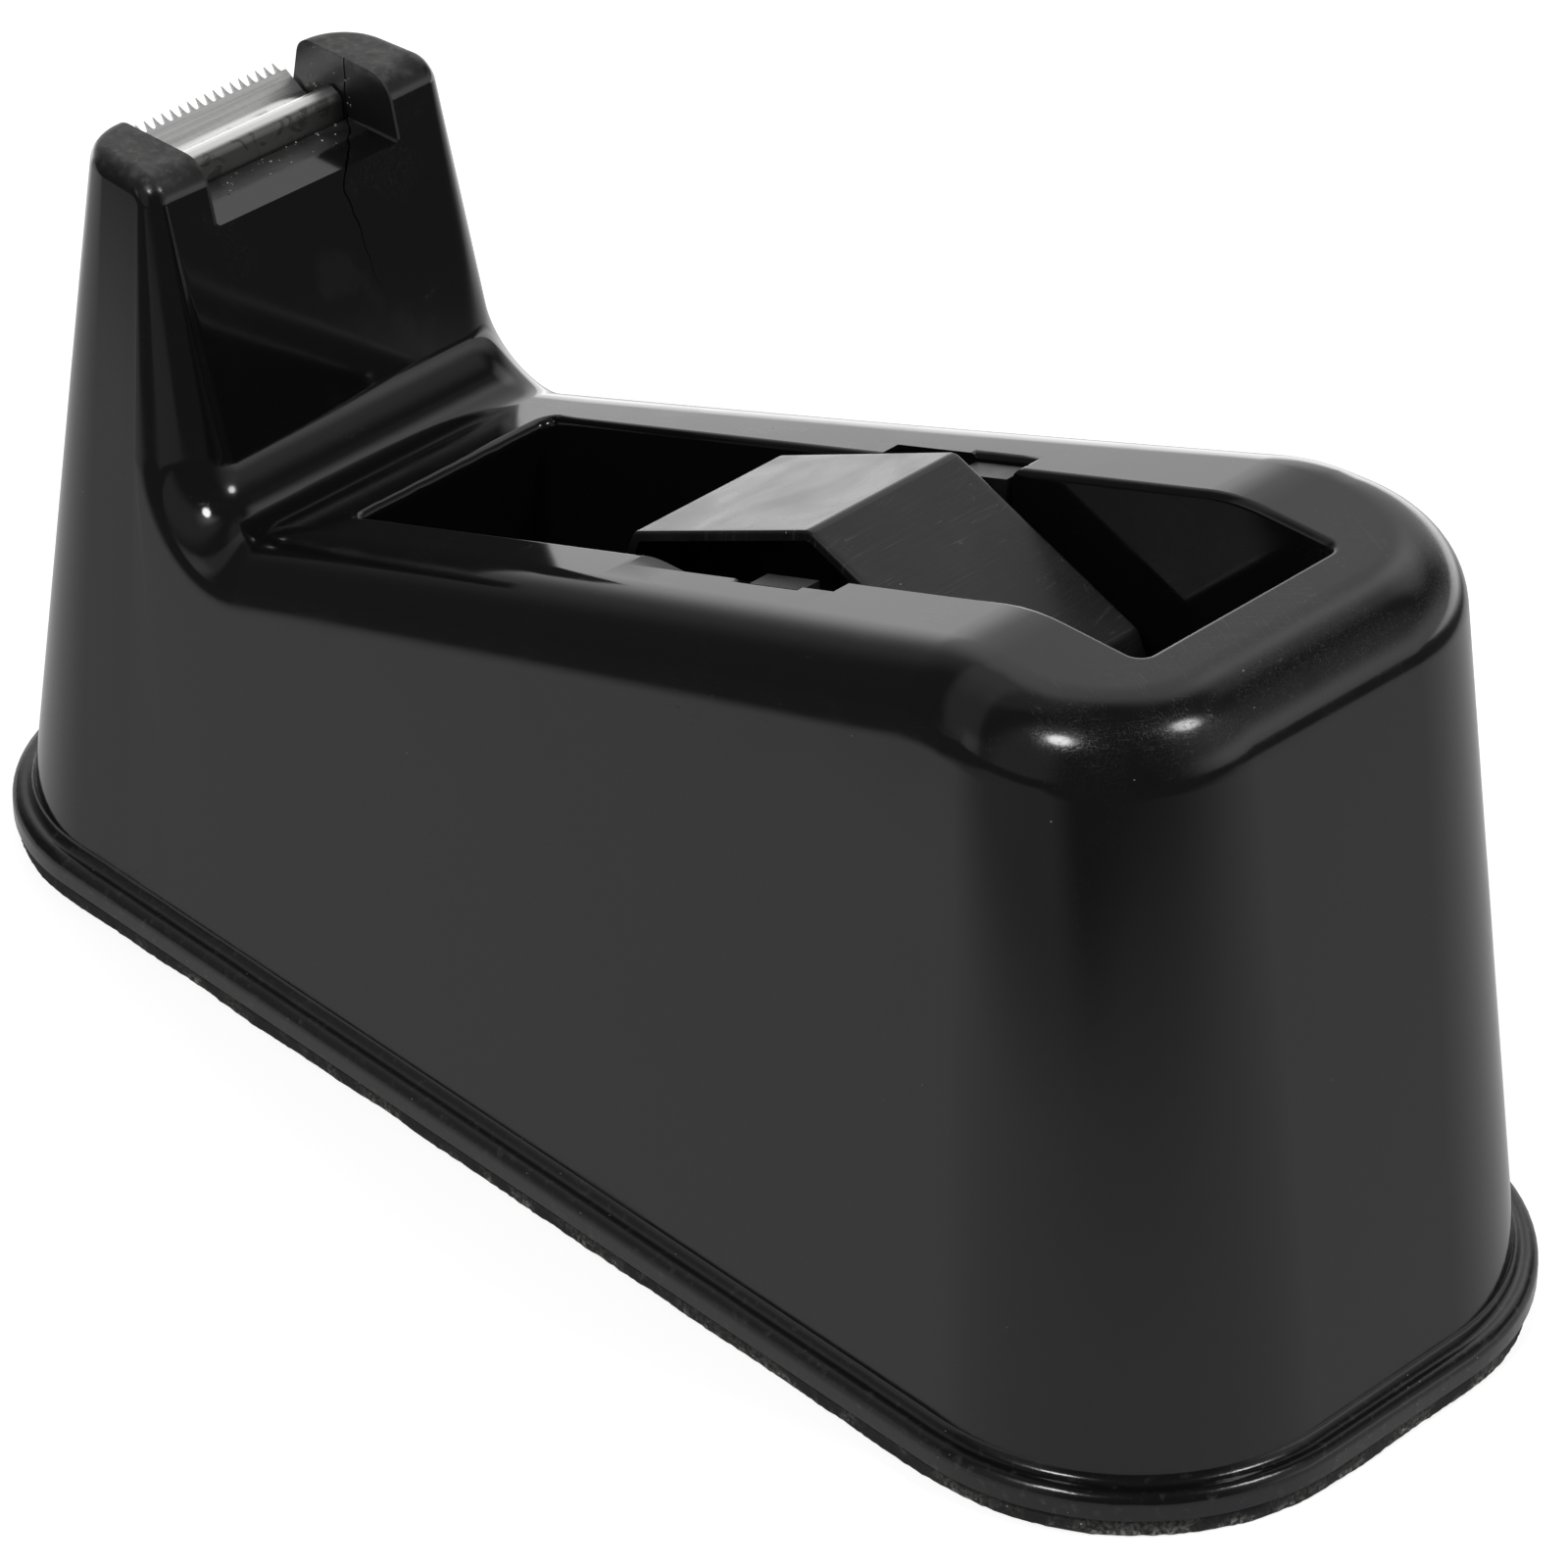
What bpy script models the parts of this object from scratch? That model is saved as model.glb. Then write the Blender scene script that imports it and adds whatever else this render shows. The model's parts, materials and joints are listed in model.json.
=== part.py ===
"""Weighted desk tape dispenser with a lift-out core drum.

One moulded housing (blade tower in front, roll well behind it) stands on a screwed base plate
and a soft foot pad, with cast ballast inside.  An octagonal drum turns on an axle whose two
end tongues slide down grooves in the walls of the well, so drum and axle lift out together.

Axes: +X from the blade to the rear, +Y across, +Z up.  Origin: middle of the footprint, at
the underside of the foot pad.  Units: metres.
"""
import math

import bmesh
import bpy
from mathutils import Matrix, Vector

MM = 0.001
GAP = 0.3 * MM                      # air left between pieces that touch
FAR = 300.0 * MM                    # reach of cutters that run right out of the part

# ---------------------------------------------------------------- driving dimensions
# base
PAD_HEIGHT = 2.2 * MM
PAD_INSET = 0.5 * MM
PLATE_HEIGHT = 1.6 * MM
FLANGE_HEIGHT = 3.0 * MM
FLANGE_REACH = 2.6 * MM
FLANGE_ROUND = 1.1 * MM
FLANGE_Z = PAD_HEIGHT + GAP
FOOT_Z = FLANGE_Z + FLANGE_HEIGHT
CROWN_Z = 90.0 * MM

# plan of the walls where they meet the flange, and at the height of the crown
FOOT = {"front": -96.2 * MM, "rear": 96.5 * MM, "half_front": 29.6 * MM, "half_rear": 38.3 * MM,
        "round_front": 24.5 * MM, "round_rear": 26.5 * MM}
CROWN = {"front": -80.5 * MM, "rear": 84.6 * MM, "half_front": 20.3 * MM, "half_rear": 33.4 * MM,
         "round_front": 7.0 * MM, "round_rear": 19.5 * MM}

# side view: tower top, raked rear face, foot of the tower, rising deck, level tail
TOWER_Z = 91.0 * MM
TOWER_RAKE = 0.246                  # how far the rear face runs back for each unit down
VALLEY_X = -56.4 * MM               # where the rear face and the deck line would meet
VALLEY_Z = 52.3 * MM
BEND_X = 58.2 * MM                  # where the rising deck turns level
BEND_Z = 90.2 * MM
TAIL_Z = 91.2 * MM
BROW_ROUND = 3.7 * MM               # top rear edge of the tower
EAR_ROUND = 2.4 * MM                # edge round the rest of the tower's top
VALLEY_ROUND = 7.0 * MM
BEND_ROUND = 26.0 * MM
TOWER_SIDE_ROUND = 7.6 * MM         # upright edges at the foot of the tower's rear face
DECK_ROUND = 8.8 * MM              # edge between deck and walls

# shell
WALL = 3.0 * MM
TOWER_INNER_Z = 77.0 * MM
WELL_FRONT_X = -41.8 * MM
WELL_REAR_X = 72.2 * MM
WELL_HALF = 14.5 * MM
WELL_FLOOR_Z = 7.0 * MM
WELL_CORNER = 1.5 * MM
WELL_WALL = 2.4 * MM
NOTCH_HALF = 13.4 * MM
NOTCH_Z = 83.7 * MM

# octagonal drum for a 76 mm core
DRUM_X = 24.2 * MM
DRUM_Z = 45.4 * MM
DRUM_SIDES = 8
DRUM_RADIUS = 36.6 * MM             # centre to sharp corner
DRUM_CORNER = 1.6 * MM
DRUM_HALF = 11.0 * MM
DRUM_SHELL = 1.4 * MM
DRUM_TURN = math.radians(-1.3)      # rest angle: one corner stands almost straight up
DRUM_LIP = 2.0 * MM                 # ribs stand back this far from the drum's ends
WEB_HALF = 0.8 * MM
RIB_HALF = 0.7 * MM
BOSS_RADIUS = 7.2 * MM
BOSS_STEP = 0.6 * MM
BUSH_RADIUS = 4.4 * MM
BUSH_FLANGE = 6.2 * MM
BUSH_FLANGE_HEIGHT = 0.8 * MM
BUSH_LENGTH = 7.0 * MM
AXLE_RADIUS = 3.0 * MM
RUNNING = 0.06 * MM                 # radial play of the turning fit
FITTED = 0.1 * MM                   # radial play of a part that is pushed in and stays

# tongues on the axle's ends, and the grooves and pockets in the well's walls
GROOVE_HALF = 4.0 * MM
GROOVE_DEPTH = 3.0 * MM
GROOVE_FLOOR_Z = 36.0 * MM
GROOVE_WALL = 2.1 * MM
TONGUE_HALF = GROOVE_HALF - GAP
TONGUE_INNER_Y = 13.9 * MM
TONGUE_OUTER_Y = WELL_HALF + GROOVE_DEPTH - GAP
TONGUE_SINK = 0.9 * MM              # top of a tongue below the deck line
SPIGOT_RADIUS = 2.2 * MM
SPIGOT_END_Y = 16.4 * MM
WASHER_RADIUS = 5.4 * MM
WASHER_HEIGHT = 0.8 * MM
POCKET_FRONT_X = 9.4 * MM
POCKET_REAR_X = 30.2 * MM
POCKET_DROP = 1.8 * MM
POCKET_RAMP = 6.0 * MM
NEAR_OVERRUN = 1.2 * MM             # the near pocket runs on past the far one and slopes out again
NEAR_TAIL = 3.0 * MM

# toothed blade: path of its top face, from the tooth roots to the hidden leg
BLADE_HALF = NOTCH_HALF - GAP
BLADE_SHEET = 0.5 * MM
BLADE_PATH = ((-82.2 * MM, 86.2 * MM), (-78.4 * MM, 83.9 * MM), (-74.7 * MM, 87.0 * MM),
              (-72.5 * MM, 84.2 * MM), (-72.5 * MM, 80.4 * MM))
BLADE_BENDS = (2.0 * MM, 1.5 * MM, 1.2 * MM)
TEETH = 20
TOOTH_PITCH = 1.27 * MM
TOOTH_HEIGHT = 1.3 * MM
LEG_SLOT = 0.35 * MM                # play round the leg in its slot

# screws and ballast
SCREW_POSTS = ((-78.0 * MM, 13.0 * MM), (-6.0 * MM, 22.5 * MM), (80.5 * MM, 20.0 * MM))
POST_RADIUS = 3.8 * MM
PILOT_RADIUS = 1.7 * MM
SHANK_RADIUS = 1.4 * MM
HEAD_RADIUS = 3.0 * MM
HEAD_SINK = 0.15 * MM               # screw head below the plate's underside
SCREW_LENGTH = 11.0 * MM
PILOT_DEPTH = 12.0 * MM
BALLAST_PLAY = 1.0 * MM
BALLAST_TOP = {"front": 58.0 * MM, "side": 34.0 * MM, "rear": 60.0 * MM}

ARC_STEPS = 6
CORNER_STEPS = 8
DECK_RUNS = 5                       # the twisted wall beside the deck is cut into this many strips


# ---------------------------------------------------------------- materials and objects
def material(name, colour, roughness, metallic=0.0):
    """Principled material with one plain colour."""
    made = bpy.data.materials.new(name)
    made.use_nodes = True
    shader = made.node_tree.nodes["Principled BSDF"]
    shader.inputs["Base Color"].default_value = (*colour, 1.0)
    shader.inputs["Roughness"].default_value = roughness
    shader.inputs["Metallic"].default_value = metallic
    return made


def add_object(name, bm, made=None, smooth=30.0):
    """Turn a bmesh into a named object; shade it smooth below the given edge angle."""
    bmesh.ops.recalc_face_normals(bm, faces=bm.faces)
    mesh = bpy.data.meshes.new(name)
    bm.to_mesh(mesh)
    bm.free()
    mesh.shade_smooth()
    mesh.set_sharp_from_angle(angle=math.radians(smooth))
    built = bpy.data.objects.new(name, mesh)
    bpy.context.scene.collection.objects.link(built)
    if made:
        mesh.materials.append(made)
    return built


def as_cutter(built):
    """Mark an object as construction geometry."""
    built.hide_render = True
    built.display_type = 'WIRE'
    return built


def boolean(target, tool, operation='DIFFERENCE'):
    """Add an exact boolean to the target."""
    step = target.modifiers.new(tool.name, 'BOOLEAN')
    step.operation = operation
    step.solver = 'EXACT'
    step.object = tool


# ---------------------------------------------------------------- plain shapes
def add_prism(bm, outline, place, low, high):
    """Extrude a 2D outline; place(u, v, w) maps it and the extrusion length to space."""
    bottom = [bm.verts.new(place(u, v, low)) for u, v in outline]
    top = [bm.verts.new(place(u, v, high)) for u, v in outline]
    bm.faces.new(bottom)
    bm.faces.new(top)
    for i in range(len(outline)):
        j = (i + 1) % len(outline)
        bm.faces.new((bottom[i], bottom[j], top[j], top[i]))


def upright(u, v, w):
    """Outline in the ground plane, extruded up."""
    return Vector((u, v, w))


def across(u, v, w):
    """Outline in the side view, extruded across the part."""
    return Vector((u, w, v))


def add_box(bm, low, high):
    """Axis-aligned box from corner to corner."""
    outline = ((low[0], low[1]), (high[0], low[1]), (high[0], high[1]), (low[0], high[1]))
    add_prism(bm, outline, upright, low[2], high[2])


def circle(centre_u, centre_v, radius, count=24):
    """Points of a regular polygon round a centre."""
    angles = [2 * math.pi * (i + 0.5) / count for i in range(count)]
    return [(centre_u + radius * math.cos(a), centre_v + radius * math.sin(a)) for a in angles]


def add_turned(bm, profile, axis_matrix, count=24):
    """Spin a closed (radius, height) profile round the local Z axis of axis_matrix."""
    verts = [bm.verts.new(axis_matrix @ Vector((r, 0.0, h))) for r, h in profile]
    edges = [bm.edges.new((verts[i - 1], verts[i])) for i in range(len(verts))
             if profile[i - 1][0] > 0 or profile[i][0] > 0]
    bmesh.ops.spin(bm, geom=verts + edges, cent=axis_matrix.translation, steps=count,
                   axis=axis_matrix.to_3x3() @ Vector((0, 0, 1)), angle=2 * math.pi)
    bmesh.ops.remove_doubles(bm, verts=bm.verts, dist=0.001 * MM)


def left_normal(run):
    """Unit normal on the left of a 2D direction."""
    return Vector((-run.y, run.x)).normalized()


def rounded_path(corners, radii, steps):
    """Points and left-hand normals along a polyline whose inner corners become arcs."""
    corners = [Vector(c) for c in corners]
    path = [(corners[0], left_normal(corners[1] - corners[0]))]
    for i, radius in enumerate(radii, start=1):
        back = (corners[i - 1] - corners[i]).normalized()
        ahead = (corners[i + 1] - corners[i]).normalized()
        half = back.angle(ahead) / 2
        centre = corners[i] + (back + ahead).normalized() * (radius / math.sin(half))
        start = corners[i] + back * (radius / math.tan(half)) - centre
        end = corners[i] + ahead * (radius / math.tan(half)) - centre
        sweep = math.atan2(start.x * end.y - start.y * end.x, start.dot(end))
        side = 1.0 if start.dot(left_normal(-back)) > 0 else -1.0
        for k in range(steps + 1):
            arm = Matrix.Rotation(sweep * k / steps, 2) @ start
            path.append((centre + arm, side * arm.normalized()))
    path.append((corners[-1], left_normal(corners[-1] - corners[-2])))
    return path


def offset_corners(corners, distance):
    """Move every segment of an open polyline to its right by a distance."""
    corners = [Vector(c) for c in corners]
    runs = [(b - a).normalized() for a, b in zip(corners, corners[1:])]
    moved = [corners[0] - left_normal(runs[0]) * distance]
    for i in range(1, len(corners) - 1):
        inward = -(left_normal(runs[i - 1]) + left_normal(runs[i])).normalized()
        moved.append(corners[i] + inward * (distance / -inward.dot(left_normal(runs[i]))))
    moved.append(corners[-1] - left_normal(runs[-1]) * distance)
    return moved


# ---------------------------------------------------------------- the drafted body
class Body:
    """Form of the housing, or of its cavity when inset by the wall thickness.

    The walls run straight between two rounded trapezoids, the foot plan and the crown plan.
    The top is the side profile carried straight across.  A rolling edge joins the two.
    """

    def __init__(self, inset, tower_z):
        self.inset = inset
        back_x = VALLEY_X - TOWER_RAKE * (TOWER_Z - VALLEY_Z)
        corners = [(-FAR, TOWER_Z), (back_x, TOWER_Z), (VALLEY_X, VALLEY_Z), (BEND_X, BEND_Z), (FAR, TAIL_Z)]
        corners = offset_corners(corners, inset)
        if tower_z < TOWER_Z:
            corners[1] += (corners[2] - corners[1]) * ((corners[1].y - tower_z) / (corners[1].y - corners[2].y))
            corners[0].y = tower_z
        self.corners = corners
        radii = (BROW_ROUND, VALLEY_ROUND + inset, BEND_ROUND - inset)
        self.path = rounded_path(corners, radii, ARC_STEPS)
        deck_start = 2 * (ARC_STEPS + 1)
        (low, normal), (high, _) = self.path[deck_start:deck_start + 2]
        between = [(low.lerp(high, k / DECK_RUNS), normal) for k in range(1, DECK_RUNS)]
        self.path[deck_start + 1:deck_start + 1] = between

    def plan(self, z):
        """Sizes of the horizontal section at a height."""
        t = (z - FOOT_Z) / (CROWN_Z - FOOT_Z)
        size = {key: FOOT[key] + (CROWN[key] - FOOT[key]) * t for key in FOOT}
        size["front"] += self.inset
        size["rear"] -= self.inset
        for key in ("half_front", "half_rear"):
            size[key] -= self.inset
        for key in ("round_front", "round_rear"):
            size[key] = max(size[key] - self.inset, 1.0 * MM)
        size["taper"] = (size["half_rear"] - size["half_front"]) / (size["rear"] - size["front"])
        return size

    def half_width(self, x, z):
        """Distance from the middle plane to the side wall."""
        size = self.plan(z)
        return size["half_front"] + size["taper"] * (x - size["front"])

    def corner_point(self, end, angle, z):
        """Point of a rounded upright corner; end is 'front' or 'rear'."""
        size = self.plan(z)
        radius = size["round_" + end]
        x = size[end] + (radius if end == "front" else -radius)
        lean = math.sqrt(1 + size["taper"] ** 2)
        y = radius * lean - self.half_width(x, z)
        return Vector((x + radius * math.cos(angle), y + radius * math.sin(angle), z))

    def corner_normal(self, end, angle, z):
        """Outward normal of a rounded upright corner."""
        climb = (self.corner_point(end, angle, z + MM) - self.corner_point(end, angle, z - MM)) / (2 * MM)
        flat = Vector((math.cos(angle), math.sin(angle), 0.0))
        return (flat - Vector((0, 0, 1)) * climb.dot(flat)).normalized()

    def side_slope(self, x, z):
        """Unnormalised outward normal of the near side wall."""
        along = self.plan(z)["taper"]
        up = (self.half_width(x, z + MM) - self.half_width(x, z - MM)) / (2 * MM)
        return Vector((-along, -1.0, -up))

    def side_angle(self, z):
        """Plan angle at which a corner runs into the near side wall."""
        return 1.5 * math.pi - math.atan(self.plan(z)["taper"])

    def top_at(self, x, end):
        """Height and normal of the straight stretch of the top at one end."""
        a, b = (self.corners[0], self.corners[1]) if end == "front" else (self.corners[3], self.corners[4])
        flat = left_normal(b - a)
        return a.y + (b.y - a.y) * (x - a.x) / (b.x - a.x), Vector((flat.x, 0.0, flat.y))

    def edge_radius(self, index):
        """Radius of the rolling edge at a point of the side profile."""
        tower_end = ARC_STEPS + 1
        valley_start = tower_end + 1
        valley_end = valley_start + ARC_STEPS
        if index <= tower_end:
            radius = EAR_ROUND
        elif index < valley_end:
            share = (index - valley_start) / ARC_STEPS
            radius = TOWER_SIDE_ROUND + (DECK_ROUND - TOWER_SIDE_ROUND) * share
        else:
            radius = DECK_ROUND
        return radius

    def corner_stations(self, end, radius):
        """Rolling-edge stations (centre, wall normal, top normal, radius, foot point) round a corner."""
        stations = []
        for k in range(CORNER_STEPS + 1):
            share = k / CORNER_STEPS
            z = self.top_at(0.0, end)[0] - radius
            for _ in range(12):
                side = self.side_angle(z)
                angle = math.pi + (side - math.pi) * share if end == "front" \
                    else side + (2 * math.pi - side) * share
                wall = self.corner_normal(end, angle, z)
                centre = self.corner_point(end, angle, z) - wall * radius
                height, top = self.top_at(centre.x, end)
                z += height - (centre.z + radius * top.z)
            low = self.side_angle(FOOT_Z)
            foot_angle = math.pi + (low - math.pi) * share if end == "front" \
                else low + (2 * math.pi - low) * share
            stations.append((centre, wall, top, radius, (end, foot_angle)))
        return stations

    def side_stations(self, first_x, last_x):
        """Rolling-edge stations along the near side, between the two corners."""
        stations = []
        for index, (point, normal) in enumerate(self.path):
            if not first_x < point.x < last_x:
                continue
            radius = max(self.edge_radius(index) - self.inset, 0.8 * MM)
            top = Vector((normal.x, 0.0, normal.y))
            x = point.x - radius * normal.x
            z = point.y - radius * normal.y
            slope = self.side_slope(x, z)
            y = radius * slope.length - self.half_width(x, z)
            stations.append((Vector((x, y, z)), slope.normalized(), top, radius, None))
        return stations

    def stations(self):
        """All stations of the near half, front to rear."""
        front = self.corner_stations("front", max(EAR_ROUND - self.inset, 0.8 * MM))
        rear = self.corner_stations("rear", DECK_ROUND - self.inset)
        first_x = (front[-1][0] + front[-1][2] * front[-1][3]).x + 0.5 * MM
        last_x = (rear[0][0] + rear[0][2] * rear[0][3]).x - 0.5 * MM
        return front + self.side_stations(first_x, last_x) + rear

    def foot_points(self, stations, z):
        """Points of the near wall at a low height, one under each station."""
        size = self.plan(z)
        start = self.corner_point("front", self.side_angle(z), z)
        end = self.corner_point("rear", self.side_angle(z), z)
        edge_x = [(centre + top * radius).x for centre, _, top, radius, _ in stations]
        upper_start = edge_x[CORNER_STEPS]
        upper_end = edge_x[-CORNER_STEPS - 1]
        points = []
        for upper_x, (_, _, _, _, corner) in zip(edge_x, stations):
            if corner:
                points.append(self.corner_point(corner[0], corner[1], z))
            else:
                share = (upper_x - upper_start) / (upper_end - upper_start)
                x = start.x + share * (end.x - start.x)
                points.append(Vector((x, -(size["half_front"] + size["taper"] * (x - size["front"])), z)))
        return points

    def add_to(self, bm, low_rings):
        """Skin the body: low rings of near-half points, walls, rolling edge and top."""
        stations = self.stations()
        rings = low_rings(self, stations)
        for k in range(ARC_STEPS + 1):
            ring = []
            for centre, wall, top, radius, _ in stations:
                ring.append(centre + wall.slerp(top, k / ARC_STEPS) * radius)
            rings.append(ring)
        near = [[bm.verts.new(p) for p in ring] for ring in rings]
        far = [[bm.verts.new((p.x, -p.y, p.z)) for p in ring] for ring in rings]
        last = len(stations) - 1
        for half in (near, far):
            for lower, upper in zip(half, half[1:]):
                for i in range(last):
                    bm.faces.new((lower[i], lower[i + 1], upper[i + 1], upper[i]))
        for k in range(len(rings) - 1):
            for i in (0, last):
                bm.faces.new((near[k][i], far[k][i], far[k + 1][i], near[k + 1][i]))
        for i in range(last):
            bm.faces.new((near[-1][i], near[-1][i + 1], far[-1][i + 1], far[-1][i]))
        bm.faces.new(near[0] + far[0][::-1])


def outset(points, distance):
    """Move near-half plan points outward in their own plane, square to their run."""
    moved = []
    for i, point in enumerate(points):
        before = points[i - 1] if i else Vector((point.x, -point.y, point.z))
        after = points[i + 1] if i + 1 < len(points) else Vector((point.x, -point.y, point.z))
        run = after - before
        outward = Vector((run.y, -run.x, 0.0)).normalized()
        moved.append(point + outward * distance)
    return moved


def flange_rings(body, stations):
    """Low rings of the housing: the outward flange with its rounded upper edge."""
    foot = body.foot_points(stations, FOOT_Z)
    rim = outset(foot, FLANGE_REACH)
    rings = []
    for distance, z in ((0.0, FLANGE_Z), (0.0, FOOT_Z - FLANGE_ROUND)):
        rings.append([Vector((p.x, p.y, z)) for p in outset(rim, distance)])
    for k in range(1, 4):
        turn = 0.5 * math.pi * k / 3
        drawn_in = outset(foot, FLANGE_REACH - FLANGE_ROUND * (1 - math.cos(turn)))
        z = FOOT_Z - FLANGE_ROUND * (1 - math.sin(turn))
        rings.append([Vector((p.x, p.y, z)) for p in drawn_in])
    rings.append(foot)
    return rings


def open_rings(body, stations):
    """Low ring of the cavity, just below the housing, so that the cut opens downward."""
    return [body.foot_points(stations, FLANGE_Z - MM)]


def foot_outline(inset):
    """Closed plan outline at the foot, drawn in from the wall by an inset (out if negative)."""
    body = Body(0.0, TOWER_Z)
    near = outset(body.foot_points(body.stations(), FOOT_Z), -inset)
    return [(p.x, p.y) for p in near] + [(p.x, -p.y) for p in reversed(near)]


def deck_height(x):
    """Height of the straight deck line."""
    return VALLEY_Z + (BEND_Z - VALLEY_Z) * (x - VALLEY_X) / (BEND_X - VALLEY_X)


def screw_places():
    """Near and far positions of the six base screws."""
    return [(x, side * y) for x, y in SCREW_POSTS for side in (-1, 1)]


# ---------------------------------------------------------------- housing
def well_outline(grow=0.0):
    """Plan of the roll well, its corners cut round."""
    low_x = WELL_FRONT_X - grow
    high_x = WELL_REAR_X + grow
    half = WELL_HALF + grow
    outline = []
    for x, y, turn in ((high_x, half, 0), (low_x, half, 1), (low_x, -half, 2), (high_x, -half, 3)):
        sign_x = 1 if x == high_x else -1
        sign_y = 1 if y > 0 else -1
        centre = (x - sign_x * WELL_CORNER, y - sign_y * WELL_CORNER)
        for k in range(4):
            angle = 0.5 * math.pi * (turn + k / 3)
            outline.append((centre[0] + WELL_CORNER * math.cos(angle),
                            centre[1] + WELL_CORNER * math.sin(angle)))
    return outline


def cavity():
    """Hollow of the housing, without the well's walls and the screw posts."""
    bm = bmesh.new()
    Body(WALL, TOWER_INNER_Z).add_to(bm, open_rings)
    hollow = as_cutter(add_object("cut_hollow", bm))
    bm = bmesh.new()
    add_prism(bm, well_outline(WELL_WALL), upright, WELL_FLOOR_Z - WELL_WALL, FAR)
    kept = as_cutter(add_object("keep_well", bm))
    bm = bmesh.new()
    wide = GROOVE_HALF + GROOVE_WALL
    half = WELL_HALF + GROOVE_DEPTH + GROOVE_WALL
    add_box(bm, (DRUM_X - wide, -half, GROOVE_FLOOR_Z - GROOVE_WALL), (DRUM_X + wide, half, FAR))
    grooves = as_cutter(add_object("keep_grooves", bm))
    bm = bmesh.new()
    for x, y in screw_places():
        add_prism(bm, circle(x, y, POST_RADIUS, 16), upright, FLANGE_Z + PLATE_HEIGHT + GAP, FAR)
    posts = as_cutter(add_object("keep_posts", bm))
    for tool in (kept, grooves, posts):
        boolean(hollow, tool)
    return hollow


def slot_cutters():
    """Well, tongue grooves, rim pockets, blade notch, leg slot and pilot holes."""
    bm = bmesh.new()
    add_prism(bm, well_outline(), upright, WELL_FLOOR_Z, FAR)
    well = as_cutter(add_object("cut_well", bm))
    bm = bmesh.new()
    half = WELL_HALF + GROOVE_DEPTH
    add_box(bm, (DRUM_X - GROOVE_HALF, -half, GROOVE_FLOOR_Z), (DRUM_X + GROOVE_HALF, half, FAR))
    groove = as_cutter(add_object("cut_grooves", bm))
    bm = bmesh.new()
    for side, overrun, tail in ((-1, NEAR_OVERRUN, NEAR_TAIL), (1, 0.0, 0.0)):
        start_x = POCKET_FRONT_X
        end_x = POCKET_REAR_X + overrun
        pocket = [(start_x - POCKET_RAMP, deck_height(start_x - POCKET_RAMP) + 0.2 * MM),
                  (start_x, deck_height(start_x) - POCKET_DROP),
                  (end_x, deck_height(end_x) - POCKET_DROP),
                  (end_x + tail, deck_height(end_x + tail) + 0.2 * MM),
                  (end_x + tail, CROWN_Z), (start_x, CROWN_Z)]
        ends = sorted((side * (WELL_HALF - MM), side * (half + 0.01 * MM)))
        add_prism(bm, pocket, across, *ends)
    pockets = as_cutter(add_object("cut_pockets", bm))
    bm = bmesh.new()
    add_box(bm, (-FAR, -NOTCH_HALF, NOTCH_Z), (0.0, NOTCH_HALF, FAR))
    notch = as_cutter(add_object("cut_notch", bm))
    bm = bmesh.new()
    leg_x, leg_z = BLADE_PATH[-1]
    add_box(bm, (leg_x - BLADE_SHEET - LEG_SLOT, -NOTCH_HALF, leg_z - GAP),
            (leg_x + LEG_SLOT, NOTCH_HALF, NOTCH_Z + MM))
    slot = as_cutter(add_object("cut_leg_slot", bm))
    bm = bmesh.new()
    for x, y in screw_places():
        add_prism(bm, circle(x, y, PILOT_RADIUS, 12), upright, 0.0, FLANGE_Z + PLATE_HEIGHT + PILOT_DEPTH)
    pilots = as_cutter(add_object("cut_pilots", bm))
    return well, groove, pockets, notch, slot, pilots


def housing(plastic):
    """The moulded body: outer form less its hollow and its openings."""
    bm = bmesh.new()
    Body(0.0, TOWER_Z).add_to(bm, flange_rings)
    shell = add_object("housing", bm, plastic)
    boolean(shell, cavity())
    for tool in slot_cutters():
        boolean(shell, tool)
    return shell


# ---------------------------------------------------------------- base
def base_plate(steel):
    """Flat closing plate inside the flange, countersunk for the screws."""
    bm = bmesh.new()
    add_prism(bm, foot_outline(WALL + GAP), upright, FLANGE_Z, FLANGE_Z + PLATE_HEIGHT)
    plate = add_object("base_plate", bm, steel)
    bm = bmesh.new()
    sink = HEAD_RADIUS + HEAD_SINK + GAP
    hole = PILOT_RADIUS
    profile = ((0.0, -MM), (sink, -MM), (sink, 0.0), (hole, sink - hole), (hole, 3 * MM), (0.0, 3 * MM))
    for x, y in screw_places():
        add_turned(bm, profile, Matrix.Translation((x, y, FLANGE_Z)), 16)
    boolean(plate, as_cutter(add_object("cut_countersinks", bm)))
    return plate


def base_screws(steel):
    """Six countersunk self-tapping screws, driven up from below."""
    head = HEAD_RADIUS - SHANK_RADIUS
    profile = ((0.0, HEAD_SINK), (HEAD_RADIUS, HEAD_SINK), (SHANK_RADIUS, HEAD_SINK + head),
               (SHANK_RADIUS, SCREW_LENGTH - 1.5 * MM), (0.0, SCREW_LENGTH))
    for number, (x, y) in enumerate(screw_places(), start=1):
        bm = bmesh.new()
        add_turned(bm, profile, Matrix.Translation((x, y, FLANGE_Z)), 16)
        add_object(f"base_screw_{number}", bm, steel)


def foot_pad(foam):
    """Soft pad glued under flange and plate, a little smaller than the flange."""
    bm = bmesh.new()
    outline = foot_outline(PAD_INSET - FLANGE_REACH)
    add_prism(bm, outline, upright, 0.0, PAD_HEIGHT)
    return add_object("foot_pad", bm, foam)


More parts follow.
